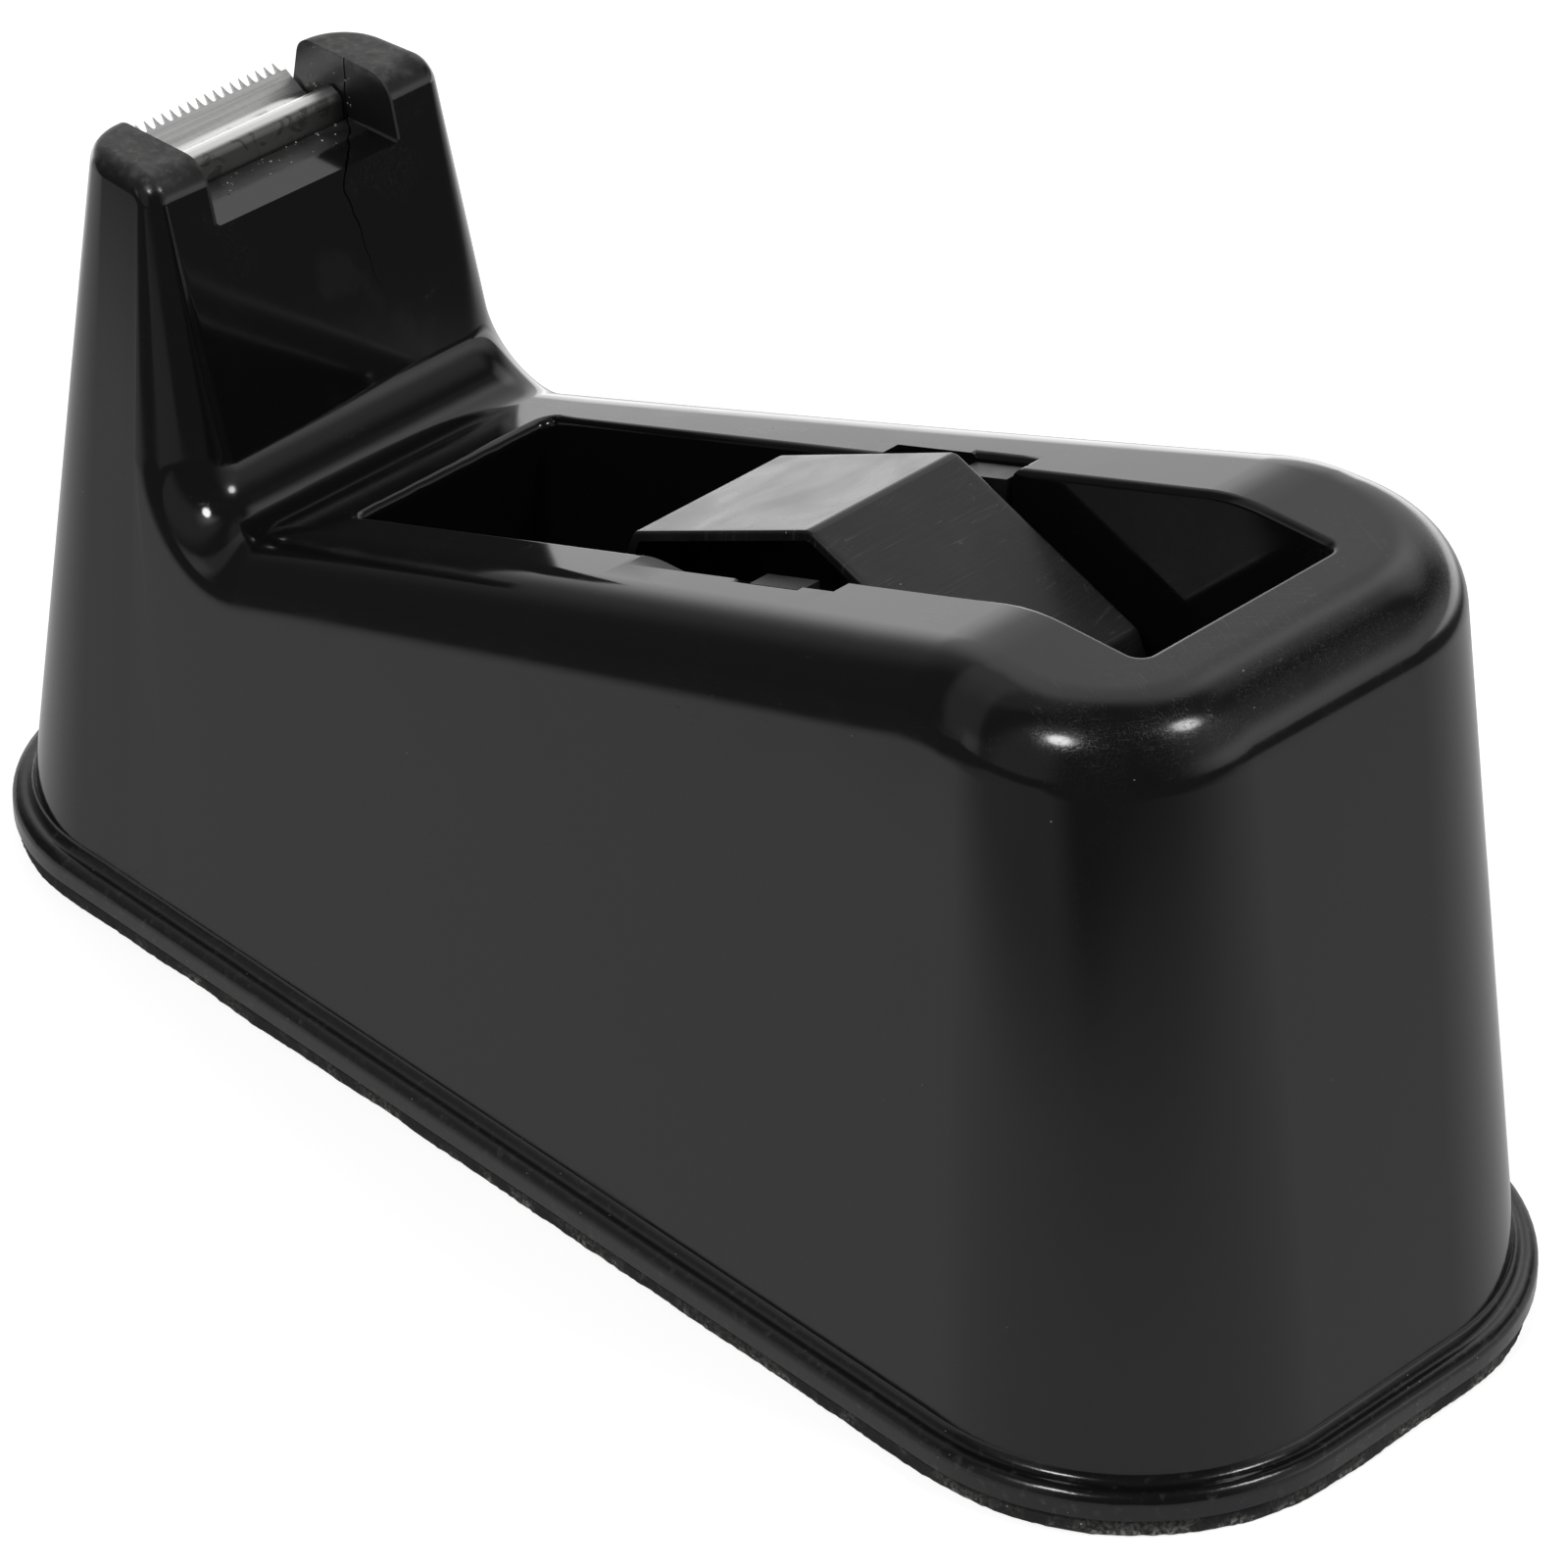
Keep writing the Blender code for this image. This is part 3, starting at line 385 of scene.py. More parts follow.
@dataclass
class DraftedForm:
    """Walls ruled between two plans, a side profile for the top, and a rolling edge between them."""

    inset: float = 0.0
    tower_z: float = 91.0 * MM
    arc_steps: int = 14
    corner_steps: int = 22
    edge_steps: int = 14
    deck_runs: int = 14
    foot_z: float = 5.5 * MM
    crown_z: float = 90.0 * MM
    tower_top: float = 91.0 * MM
    rake: float = 0.246
    valley: Point2 = (-56.4 * MM, 52.3 * MM)
    bend: Point2 = (58.2 * MM, 90.2 * MM)
    tail_z: float = 91.2 * MM
    brow_round: float = 3.7 * MM
    ear_round: float = 2.4 * MM
    valley_round: float = 7.0 * MM
    bend_round: float = 26.0 * MM
    tower_side_round: float = 7.6 * MM
    deck_round: float = 8.8 * MM
    least_round: float = 0.8 * MM
    station_gap: float = 0.5 * MM
    solving_rounds: int = 12
    foot: WallPlan = WallPlan(-96.2 * MM, 96.5 * MM, 29.6 * MM, 38.3 * MM, 24.5 * MM, 26.5 * MM)
    crown: WallPlan = WallPlan(-80.5 * MM, 84.6 * MM, 20.3 * MM, 33.4 * MM, 7.0 * MM, 19.5 * MM)
    corners: list[Vector] = field(default_factory=list)
    path: list[tuple[Vector, Vector]] = field(default_factory=list)

    def __post_init__(self) -> None:
        """Lay out the side profile."""
        valley = Vector(self.valley)
        back_x = valley.x - self.rake * (self.tower_top - valley.y)
        corners = [Vector((-BEYOND, self.tower_top)), Vector((back_x, self.tower_top)), valley,
                   Vector(self.bend), Vector((BEYOND, self.tail_z))]
        corners = self.drawn_in(corners)
        if self.tower_z < self.tower_top:
            fall = (corners[1].y - self.tower_z) / (corners[1].y - corners[2].y)
            corners[1] += (corners[2] - corners[1]) * fall
            corners[0].y = self.tower_z
        radii = (self.brow_round, self.valley_round + self.inset, self.bend_round - self.inset)
        path = rounded_path(corners, radii, self.arc_steps)
        start = 2 * (self.arc_steps + 1)
        (low, normal), (high, _) = path[start:start + 2]
        path[start + 1:start + 1] = [(low.lerp(high, k / self.deck_runs), normal)
                                     for k in range(1, self.deck_runs)]
        self.corners = corners
        self.path = path

    def drawn_in(self, corners: list[Vector]) -> list[Vector]:
        """Side profile moved into the material by the inset.

        Args:
            corners: The profile's corners.

        Returns:
            The moved corners.
        """
        runs = [(b - a).normalized() for a, b in zip(corners, corners[1:])]
        moved = [corners[0] - left_normal(runs[0]) * self.inset]
        for i in range(1, len(corners) - 1):
            inward = -(left_normal(runs[i - 1]) + left_normal(runs[i])).normalized()
            moved.append(corners[i] + inward * (self.inset / -inward.dot(left_normal(runs[i]))))
        moved.append(corners[-1] - left_normal(runs[-1]) * self.inset)
        return moved

    def plan(self, z: float) -> WallPlan:
        """Horizontal section of the walls at a height."""
        return self.foot.towards(self.crown, (z - self.foot_z) / (self.crown_z - self.foot_z), self.inset)

    def half_width(self, x: float, z: float) -> float:
        """Distance from the middle plane to the side wall."""
        plan = self.plan(z)
        return plan.half_front + plan.taper * (x - plan.front)

    def corner_point(self, end: End, angle: float, z: float) -> Vector:
        """Point of a rounded upright corner.

        Args:
            end: Which corner.
            angle: Plan angle round it.
            z: Height.

        Returns:
            The point.
        """
        plan = self.plan(z)
        radius = plan.round_front if end is End.FRONT else plan.round_rear
        x = plan.front + radius if end is End.FRONT else plan.rear - radius
        y = radius * math.sqrt(1 + plan.taper ** 2) - self.half_width(x, z)
        return Vector((x + radius * math.cos(angle), y + radius * math.sin(angle), z))

    def corner_normal(self, end: End, angle: float, z: float) -> Vector:
        """Outward normal of a rounded upright corner.

        Args:
            end: Which corner.
            angle: Plan angle round it.
            z: Height.

        Returns:
            The unit normal.
        """
        rise = self.corner_point(end, angle, z + MM) - self.corner_point(end, angle, z - MM)
        flat = Vector((math.cos(angle), math.sin(angle), 0.0))
        return (flat - Vector((0, 0, 1)) * (rise / (2 * MM)).dot(flat)).normalized()

    def side_angle(self, z: float) -> float:
        """Plan angle at which a corner runs into the near side wall."""
        return 1.5 * math.pi - math.atan(self.plan(z).taper)

    def top_at(self, x: float, end: End) -> tuple[float, Vector]:
        """Height and normal of the straight stretch of the top at one end.

        Args:
            x: Place along the part.
            end: Which end.

        Returns:
            Height and unit normal.
        """
        a, b = self.corners[:2] if end is End.FRONT else self.corners[3:]
        flat = left_normal(b - a)
        return a.y + (b.y - a.y) * (x - a.x) / (b.x - a.x), Vector((flat.x, 0.0, flat.y))

    def edge_radius(self, index: int) -> float:
        """Radius of the rolling edge at a point of the side profile.

        Args:
            index: Number of the profile's point.

        Returns:
            The radius.
        """
        tower_end = self.arc_steps + 1
        valley_start = tower_end + 1
        valley_end = valley_start + self.arc_steps
        if index <= tower_end:
            return self.ear_round
        if index < valley_end:
            share = (index - valley_start) / self.arc_steps
            return self.tower_side_round + (self.deck_round - self.tower_side_round) * share
        return self.deck_round

    def corner_stations(self, end: End, radius: float) -> list[Station]:
        """Rolling-edge stations round one upright corner of the near half.

        Args:
            end: Which corner.
            radius: Radius of the edge.

        Returns:
            The stations, front to rear.
        """
        stations = []
        for k in range(self.corner_steps + 1):
            share = k / self.corner_steps
            z = self.top_at(0.0, end)[0] - radius
            for _ in range(self.solving_rounds):
                angle = self.corner_angle(end, share, z)
                wall = self.corner_normal(end, angle, z)
                centre = self.corner_point(end, angle, z) - wall * radius
                height, top = self.top_at(centre.x, end)
                z += height - (centre.z + radius * top.z)
            low = self.corner_angle(end, share, self.foot_z)
            stations.append(Station(centre, wall, top, radius, (end, low)))
        return stations

    def corner_angle(self, end: End, share: float, z: float) -> float:
        """Plan angle part of the way round a corner of the near half.

        Args:
            end: Which corner.
            share: Share of the way round.
            z: Height.

        Returns:
            The angle.
        """
        side = self.side_angle(z)
        start, stop = (math.pi, side) if end is End.FRONT else (side, 2 * math.pi)
        return start + (stop - start) * share

    def side_stations(self, first_x: float, last_x: float) -> list[Station]:
        """Rolling-edge stations along the near side, between the two corners.

        Args:
            first_x: Where the front corner ends.
            last_x: Where the rear corner starts.

        Returns:
            The stations, front to rear.
        """
        stations = []
        for index, (point, normal) in enumerate(self.path):
            if not first_x < point.x < last_x:
                continue
            radius = max(self.edge_radius(index) - self.inset, self.least_round)
            x = point.x - radius * normal.x
            z = point.y - radius * normal.y
            climb = (self.half_width(x, z + MM) - self.half_width(x, z - MM)) / (2 * MM)
            slope = Vector((-self.plan(z).taper, -1.0, -climb))
            y = radius * slope.length - self.half_width(x, z)
            top = Vector((normal.x, 0.0, normal.y))
            stations.append(Station(Vector((x, y, z)), slope.normalized(), top, radius, None))
        return stations

    def stations(self) -> list[Station]:
        """All stations of the near half, front to rear.

        Returns:
            The stations.
        """
        front = self.corner_stations(End.FRONT, max(self.ear_round - self.inset, self.least_round))
        rear = self.corner_stations(End.REAR, self.deck_round - self.inset)
        first_x = front[-1].rim.x + self.station_gap
        last_x = rear[0].rim.x - self.station_gap
        return front + self.side_stations(first_x, last_x) + rear

    def foot_points(self, stations: Sequence[Station], z: float) -> list[Vector]:
        """Points of the near wall at a low height, one under each station.

        Args:
            stations: All stations.
            z: Height.

        Returns:
            The points.
        """
        plan = self.plan(z)
        start = self.corner_point(End.FRONT, self.side_angle(z), z)
        end = self.corner_point(End.REAR, self.side_angle(z), z)
        edge_x = [station.rim.x for station in stations]
        upper_start = edge_x[self.corner_steps]
        upper_end = edge_x[-self.corner_steps - 1]
        points = []
        for upper_x, station in zip(edge_x, stations):
            if station.corner:
                points.append(self.corner_point(*station.corner, z))
                continue
            share = (upper_x - upper_start) / (upper_end - upper_start)
            x = start.x + share * (end.x - start.x)
            points.append(Vector((x, -(plan.half_front + plan.taper * (x - plan.front)), z)))
        return points

    def skin(self, bm: Mesh, low_rings: "LowRings") -> None:
        """Skin the body.

        Args:
            bm: Mesh to add to.
            low_rings: Gives the near-half rings below the rolling edge, from the stations.
        """
        stations = self.stations()
        rings = low_rings(self, stations)
        for k in range(self.edge_steps + 1):
            share = k / self.edge_steps
            rings.append([s.centre + s.wall.slerp(s.top, share) * s.radius for s in stations])
        near = [[bm.verts.new(p) for p in ring] for ring in rings]
        far = [[bm.verts.new((p.x, -p.y, p.z)) for p in ring] for ring in rings]
        last = len(stations) - 1
        for half in (near, far):
            for lower, upper in zip(half, half[1:]):
                for i in range(last):
                    bm.faces.new((lower[i], lower[i + 1], upper[i + 1], upper[i]))
        for k in range(len(rings) - 1):
            for i in (0, last):
                bm.faces.new((near[k][i], far[k][i], far[k + 1][i], near[k + 1][i]))
        for i in range(last):
            bm.faces.new((near[-1][i], near[-1][i + 1], far[-1][i + 1], far[-1][i]))
        bm.faces.new(near[0] + far[0][::-1])


LowRings = Callable[[DraftedForm, Sequence[Station]], list[list[Vector]]]


def outset(points: Sequence[Vector], distance: float) -> list[Vector]:
    """Move near-half plan points outward in their own plane, square to their run.

    Args:
        points: Plan points of the near half, front to rear.
        distance: How far to move them.

    Returns:
        The moved points.
    """
    moved = []
    for i, point in enumerate(points):
        mirrored = Vector((point.x, -point.y, point.z))
        before = points[i - 1] if i else mirrored
        after = points[i + 1] if i + 1 < len(points) else mirrored
        run = after - before
        moved.append(point + Vector((run.y, -run.x, 0.0)).normalized() * distance)
    return moved


# ---------------- housing
@dataclass(frozen=True)
class Groove:
    """Upright groove in both side walls of the well."""

    centre_x: float
    half: float = 4.0 * MM
    depth: float = 3.0 * MM
    floor_z: float = 36.0 * MM
    wall: float = 2.1 * MM


@dataclass(frozen=True)
class RimPocket:
    """Shallow step in the rim beside the drum.

    The near one starts with a long ramp, runs further back and slopes out there; the far one is
    short, with a steep step in front and a square end.
    """

    front_x: float = 9.4 * MM
    rear_x: float = 30.2 * MM
    drop: float = 1.8 * MM
    ramp: float = 6.6 * MM
    step: float = 0.6 * MM
    overrun: float = 1.2 * MM
    underrun: float = -2.2 * MM
    tail: float = 2.2 * MM
    square_tail: float = 0.02 * MM
    proud: float = 0.2 * MM
    inward: float = 3.0 * MM
    cutter_top: float = 95 * MM


@dataclass
class Housing:
    """Moulded body with tower, deck, roll well, blade notch and bead flange."""

    form: DraftedForm
    groove: Groove
    pocket: RimPocket
    crack: "Crack"
    posts: list[Point2]
    well_front: float = -41.8 * MM
    well_rear: float = 72.2 * MM
    well_half: float = 14.5 * MM
    leg: Point2 = (-72.5 * MM, 80.4 * MM)
    wall: float = 3.0 * MM
    well_wall: float = 2.4 * MM
    well_floor: float = 7.0 * MM
    well_corner: float = 1.5 * MM
    floor_round: float = 1.0 * MM
    rim_round: float = 0.9 * MM
    rim_sweep: float = 0.47 * math.pi
    lip_round: float = 1.5 * MM
    lip_reach: float = 2.5 * MM
    notch_half: float = 13.4 * MM
    notch_z: float = 83.7 * MM
    notch_ease: float = 0.5 * MM
    sill_x: float = -68 * MM
    cheek_rise: float = 0.45 * MM
    edge_bevel: float = 0.35 * MM
    slot_front: float = 0.85 * MM
    slot_rear: float = 0.35 * MM
    slot_sink: float = 0.3 * MM
    flange_z: float = 2.5 * MM
    flange_reach: float = 2.6 * MM
    flange_round: float = 1.4 * MM
    flange_steps: int = 7
    foot_fillet: float = 1.1 * MM
    post_radius: float = 3.8 * MM
    pilot_radius: float = 1.7 * MM
    post_foot: float = 4.4 * MM
    pilot_top: float = 16.1 * MM
    tower_inner_z: float = 77.0 * MM

    def build(self) -> Piece:
        """Skin the form, hollow it and cut its openings.

        Returns:
            The finished housing mesh.
        """
        bm = bmesh.new()
        self.form.skin(bm, self.flange_rings)
        surface = BVHTree.FromBMesh(bm)
        shell = Bench.make("housing_moulding", bm)
        Bench.cut(shell, [self.hollow()])
        Bench.cut(shell, [self.well_tool(surface), self.well_shaft(), *self.pocket_tools(),
                          self.notch_tool(), self.leg_slot(), self.pilots()])
        self.ease_edges(shell)
        Bench.facet(shell)
        Bench.cut(shell, self.crack.tools())
        return Bench.polish(shell)

    def flange_rings(self, form: DraftedForm, stations: Sequence[Station]) -> list[list[Vector]]:
        """Low rings of the moulding: bead flange and the fillet up into the wall.

        Args:
            form: The drafted form.
            stations: Its rolling-edge stations.

        Returns:
            Near-half rings from the underside up.
        """
        foot = form.foot_points(stations, form.foot_z)
        crest = [s.centre + s.wall * s.radius for s in stations]
        stops = [(self.flange_z, self.flange_reach)]
        for fall, back in quarter_round(self.flange_round, self.flange_steps):
            stops.append((form.foot_z - fall, self.flange_reach - back))
        rings = [[Vector((p.x, p.y, z)) for p in outset(foot, reach)] for z, reach in stops]
        for reach, rise in quarter_round(self.foot_fillet, self.flange_steps):
            wall = [low + (high - low) * (rise / (high.z - low.z)) for low, high in zip(foot, crest)]
            rings.append(outset(wall, reach))
        lowest = rings[-1]
        for share in (0.3, 0.6, 0.85):
            rings.append([low + (high - low) * share for low, high in zip(lowest, crest)])
        return rings

    def well_outline(self, grow: float = 0.0, step: float = 2.0 * MM) -> list[Point2]:
        """Plan of the roll well with its corners cut round and its sides divided.

        Args:
            grow: Distance moved outward.
            step: Longest side piece.

        Returns:
            Closed plan outline.
        """
        low_x, high_x, half = self.well_front - grow, self.well_rear + grow, self.well_half + grow
        radius = self.well_corner
        corners = []
        steps = 6
        for sign_x, sign_y, turn in ((1, 1, 0), (-1, 1, 1), (-1, -1, 2), (1, -1, 3)):
            centre_x = (high_x if sign_x > 0 else low_x) - sign_x * radius
            centre_y = sign_y * (half - radius)
            for k in range(steps + 1):
                angle = 0.5 * math.pi * (turn + k / steps)
                corners.append((centre_x + radius * math.cos(angle), centre_y + radius * math.sin(angle)))
        return divided(corners, step)

    def well_tool(self, surface: BVHTree) -> Piece:
        """Upper cutter of the well with its tongue grooves; its mouth flares to roll the rim over.

        Args:
            surface: The outer skin, from which the rim is rolled.

        Returns:
            The cutter.
        """
        groove = self.groove
        low_x, high_x = groove.centre_x - groove.half, groove.centre_x + groove.half
        outer = self.well_half + groove.depth
        outline = []
        for x, y in self.well_outline():
            if low_x < x < high_x and abs(y) > self.well_half - TOUCH:
                continue
            outline.append((x, y))
        outline = with_bump(outline, (low_x, high_x), self.well_half, outer)
        outline = divided(outline, 2.0 * MM)
        loops = [[Vector((x, y, groove.floor_z)) for x, y in outline]]
        steps = 6
        for k in range(steps + 1):
            turn = self.rim_sweep * k / steps
            loop = []
            for index, (x, y) in enumerate(outline):
                radius = self.rim_radius(x)
                u, v = mitred(outline, index, radius * (1 - math.cos(turn)))
                loop.append(Vector((u, v, top_of(surface, u, v) - radius * (1 - math.sin(turn)))))
            loops.append(loop)
        loops.append([Vector((p.x, p.y, ABOVE)) for p in loops[-1]])
        return Bench.skinned("tool_well", loops)

    def rim_radius(self, x: float) -> float:
        """Radius of the rim's rolled edge: fuller at the well's front lip."""
        share = min(max((self.well_front + self.lip_reach - x) / self.lip_reach, 0.0), 1.0)
        return self.rim_round + (self.lip_round - self.rim_round) * share * share * (3 - 2 * share)

    def well_shaft(self) -> Piece:
        """Lower cutter of the well, with a round along its floor.

        Returns:
            The cutter.
        """
        outline = self.well_outline(step=12.0 * MM)
        radius = self.floor_round
        loops = []
        for inward, rise in quarter_round(radius, 4):
            loops.append([Vector((*mitred(outline, i, -inward), self.well_floor + rise))
                          for i in range(len(outline))])
        loops.append([Vector((x, y, self.groove.floor_z + 2.0 * MM)) for x, y in outline])
        return Bench.skinned("tool_shaft", loops)

    def pocket_tools(self) -> list[Piece]:
        """Cutters of the two rim pockets.

        Returns:
            The cutters.
        """
        pocket = self.pocket
        inner = self.well_half - pocket.inward
        outer = self.well_half + self.groove.depth + TOUCH
        tools = []
        ends = ((Side.NEAR, pocket.ramp, pocket.overrun, pocket.tail),
                (Side.FAR, pocket.step, pocket.underrun, pocket.square_tail))
        for side, ramp, overrun, tail in ends:
            start_x = pocket.front_x - ramp
            end_x = pocket.rear_x + overrun
            outline = [(start_x, self.deck(start_x) + pocket.proud),
                       (pocket.front_x, self.deck(pocket.front_x) - pocket.drop),
                       (end_x, self.deck(end_x) - pocket.drop),
                       (end_x + tail, self.deck(end_x + tail) + pocket.proud),
                       (end_x + tail, pocket.cutter_top), (start_x, pocket.cutter_top)]
            tools.append(Bench.block("tool_pocket", outline, across, *side.span(inner, outer)))
        return tools

    def deck(self, x: float) -> float:
        """Height of the straight deck line."""
        (x0, z0), (x1, z1) = self.form.valley, self.form.bend
        return z0 + (z1 - z0) * (x - x0) / (x1 - x0)

    def notch_tool(self) -> Piece:
        """Cutter of the blade notch between the ears.

        Returns:
            The cutter.
        """
        outline = [(self.notch_half, ABOVE), (-self.notch_half, ABOVE)]
        arc = quarter_round(self.notch_ease, 4)
        outline += [(inward - self.notch_half, self.notch_z + rise) for rise, inward in arc]
        outline += [(self.notch_half - inward, self.notch_z + rise) for rise, inward in reversed(arc)]
        return Bench.block("tool_notch", outline, lambda y, z, x: Vector((x, y, z)), -ABOVE, 0.0)

    def leg_slot(self) -> Piece:
        """Cutter of the slot that takes the blade's leg.

        Returns:
            The cutter.
        """
        leg_x, leg_z = self.leg
        low_x, high_x = leg_x - self.slot_front, leg_x + self.slot_rear
        low_z, high_z = leg_z - self.slot_sink, self.notch_z + MM
        outline = ((low_x, low_z), (high_x, low_z), (high_x, high_z), (low_x, high_z))
        return Bench.block("tool_leg", outline, across, -self.notch_half, self.notch_half)

    def pilots(self) -> Piece:
        """Cutter of the screw posts' pilot holes.

        Returns:
            The cutter.
        """
        bm = bmesh.new()
        for x, y in self.posts:
            Bench.prism(bm, circle(x, y, self.pilot_radius, 24), upright, 0.0, self.pilot_top)
        return Bench.make("tool_pilots", bm)

    def hollow(self) -> Piece:
        """Hollow of the moulding, without the well's walls and the screw posts.

        Returns:
            The cutter.
        """
        inner = DraftedForm(inset=self.wall, tower_z=self.tower_inner_z, arc_steps=6, corner_steps=8,
                            edge_steps=6, deck_runs=5)
        bm = bmesh.new()
        inner.skin(bm, lambda form, stations: [form.foot_points(stations, self.flange_z - MM)])
        tool = Bench.make("tool_hollow", bm)
        groove = self.groove
        low_x = groove.centre_x - (groove.half + groove.wall)
        high_x = groove.centre_x + (groove.half + groove.wall)
        half = self.well_half + groove.depth + groove.wall
        lining = ((low_x, -half), (high_x, -half), (high_x, half), (low_x, half))
        kept = [Bench.block("keep_well", self.well_outline(self.well_wall, 1.0), upright,
                            self.well_floor - self.well_wall, BEYOND),
                Bench.block("keep_grooves", lining, upright, groove.floor_z - groove.wall, BEYOND)]
        bm = bmesh.new()
        for x, y in self.posts:
            Bench.prism(bm, circle(x, y, self.post_radius, 24), upright, self.post_foot, BEYOND)
        kept.append(Bench.make("keep_posts", bm))
        Bench.cut(tool, kept)
        return tool

    def ease_edges(self, shell: Piece) -> None:
        """Bevel the moulded edges of the notch, whose corners show.

        Args:
            shell: The cut housing.
        """
        bm = bmesh.new()
        bm.from_mesh(shell.data)
        bmesh.ops.remove_doubles(bm, verts=bm.verts, dist=0.003 * MM)
        chosen = []
        for edge in bm.edges:
            ends = [vert.co for vert in edge.verts]
            cheek = all(abs(abs(p.y) - self.notch_half) < 2 * TOUCH and p.z > self.notch_z + self.cheek_rise
                        for p in ends)
            sill = all(abs(p.z - self.notch_z) < 2 * TOUCH and p.x > self.sill_x for p in ends)
            if (cheek or sill) and edge.is_manifold and edge.calc_face_angle() > SHARP:
                chosen.append(edge)
        bmesh.ops.bevel(bm, geom=chosen, offset=self.edge_bevel, segments=3, affect='EDGES',
                        clamp_overlap=True, profile=0.5)
        bm.to_mesh(shell.data)
        bm.free()


def divided(outline: Outline, step: float) -> list[Point2]:
    """Closed outline whose sides are cut into pieces no longer than a step.

    Args:
        outline: Closed outline.
        step: Longest piece.

    Returns:
        The outline with more points.
    """
    points = []
    for i, (x, y) in enumerate(outline):
        u, v = outline[(i + 1) % len(outline)]
        pieces = max(1, math.ceil(math.hypot(u - x, v - y) / step))
        points += [(x + (u - x) * k / pieces, y + (v - y) * k / pieces) for k in range(pieces)]
    return points


def with_bump(outline: Outline, span: Point2, half: float, outer: float) -> list[Point2]:
    """Closed outline, counter-clockwise, with a square bump let into both long sides.

    Args:
        outline: Outline with a gap over the span on both long sides.
        span: Lowest and highest x of the bump.
        half: Where the long sides run.
        outer: Where the bump ends.

    Returns:
        The outline with the bump's corners added.
    """
    low, high = span
    points = []
    for i, (x, y) in enumerate(outline):
        points.append((x, y))
        u, v = outline[(i + 1) % len(outline)]
        if u - NIL < low and high < x + NIL and y > 0 and v > 0:
            points += [(high, half), (high, outer), (low, outer), (low, half)]
        if x - NIL < low and high < u + NIL and y < 0 and v < 0:
            points += [(low, -half), (low, -outer), (high, -outer), (high, -half)]
    return points


def mitred(outline: Outline, index: int, distance: float) -> Point2:
    """Point of a counter-clockwise outline moved outward with its two sides.

    Args:
        outline: The outline.
        index: Which of its points.
        distance: How far out.

    Returns:
        The moved point.
    """
    here = Vector(outline[index])
    before = (here - Vector(outline[index - 1])).normalized()
    after = (Vector(outline[(index + 1) % len(outline)]) - here).normalized()
    first = -left_normal(before)
    second = -left_normal(after)
    moved = here + (first + second) * (distance / (1 + first.dot(second)))
    return moved.x, moved.y


def top_of(surface: BVHTree, x: float, y: float) -> float:
    """Height of a surface straight above a plan point."""
    return surface.ray_cast(Vector((x, y, BEYOND)), Vector((0, 0, -1)))[0].z


# ---------------- finishes
Value = float | Socket
Colour = Point3


def opaque(colour: Any) -> Any:
    """A plain colour with its alpha; an output as it is."""
    return colour if isinstance(colour, Socket) else (*colour, 1.0)


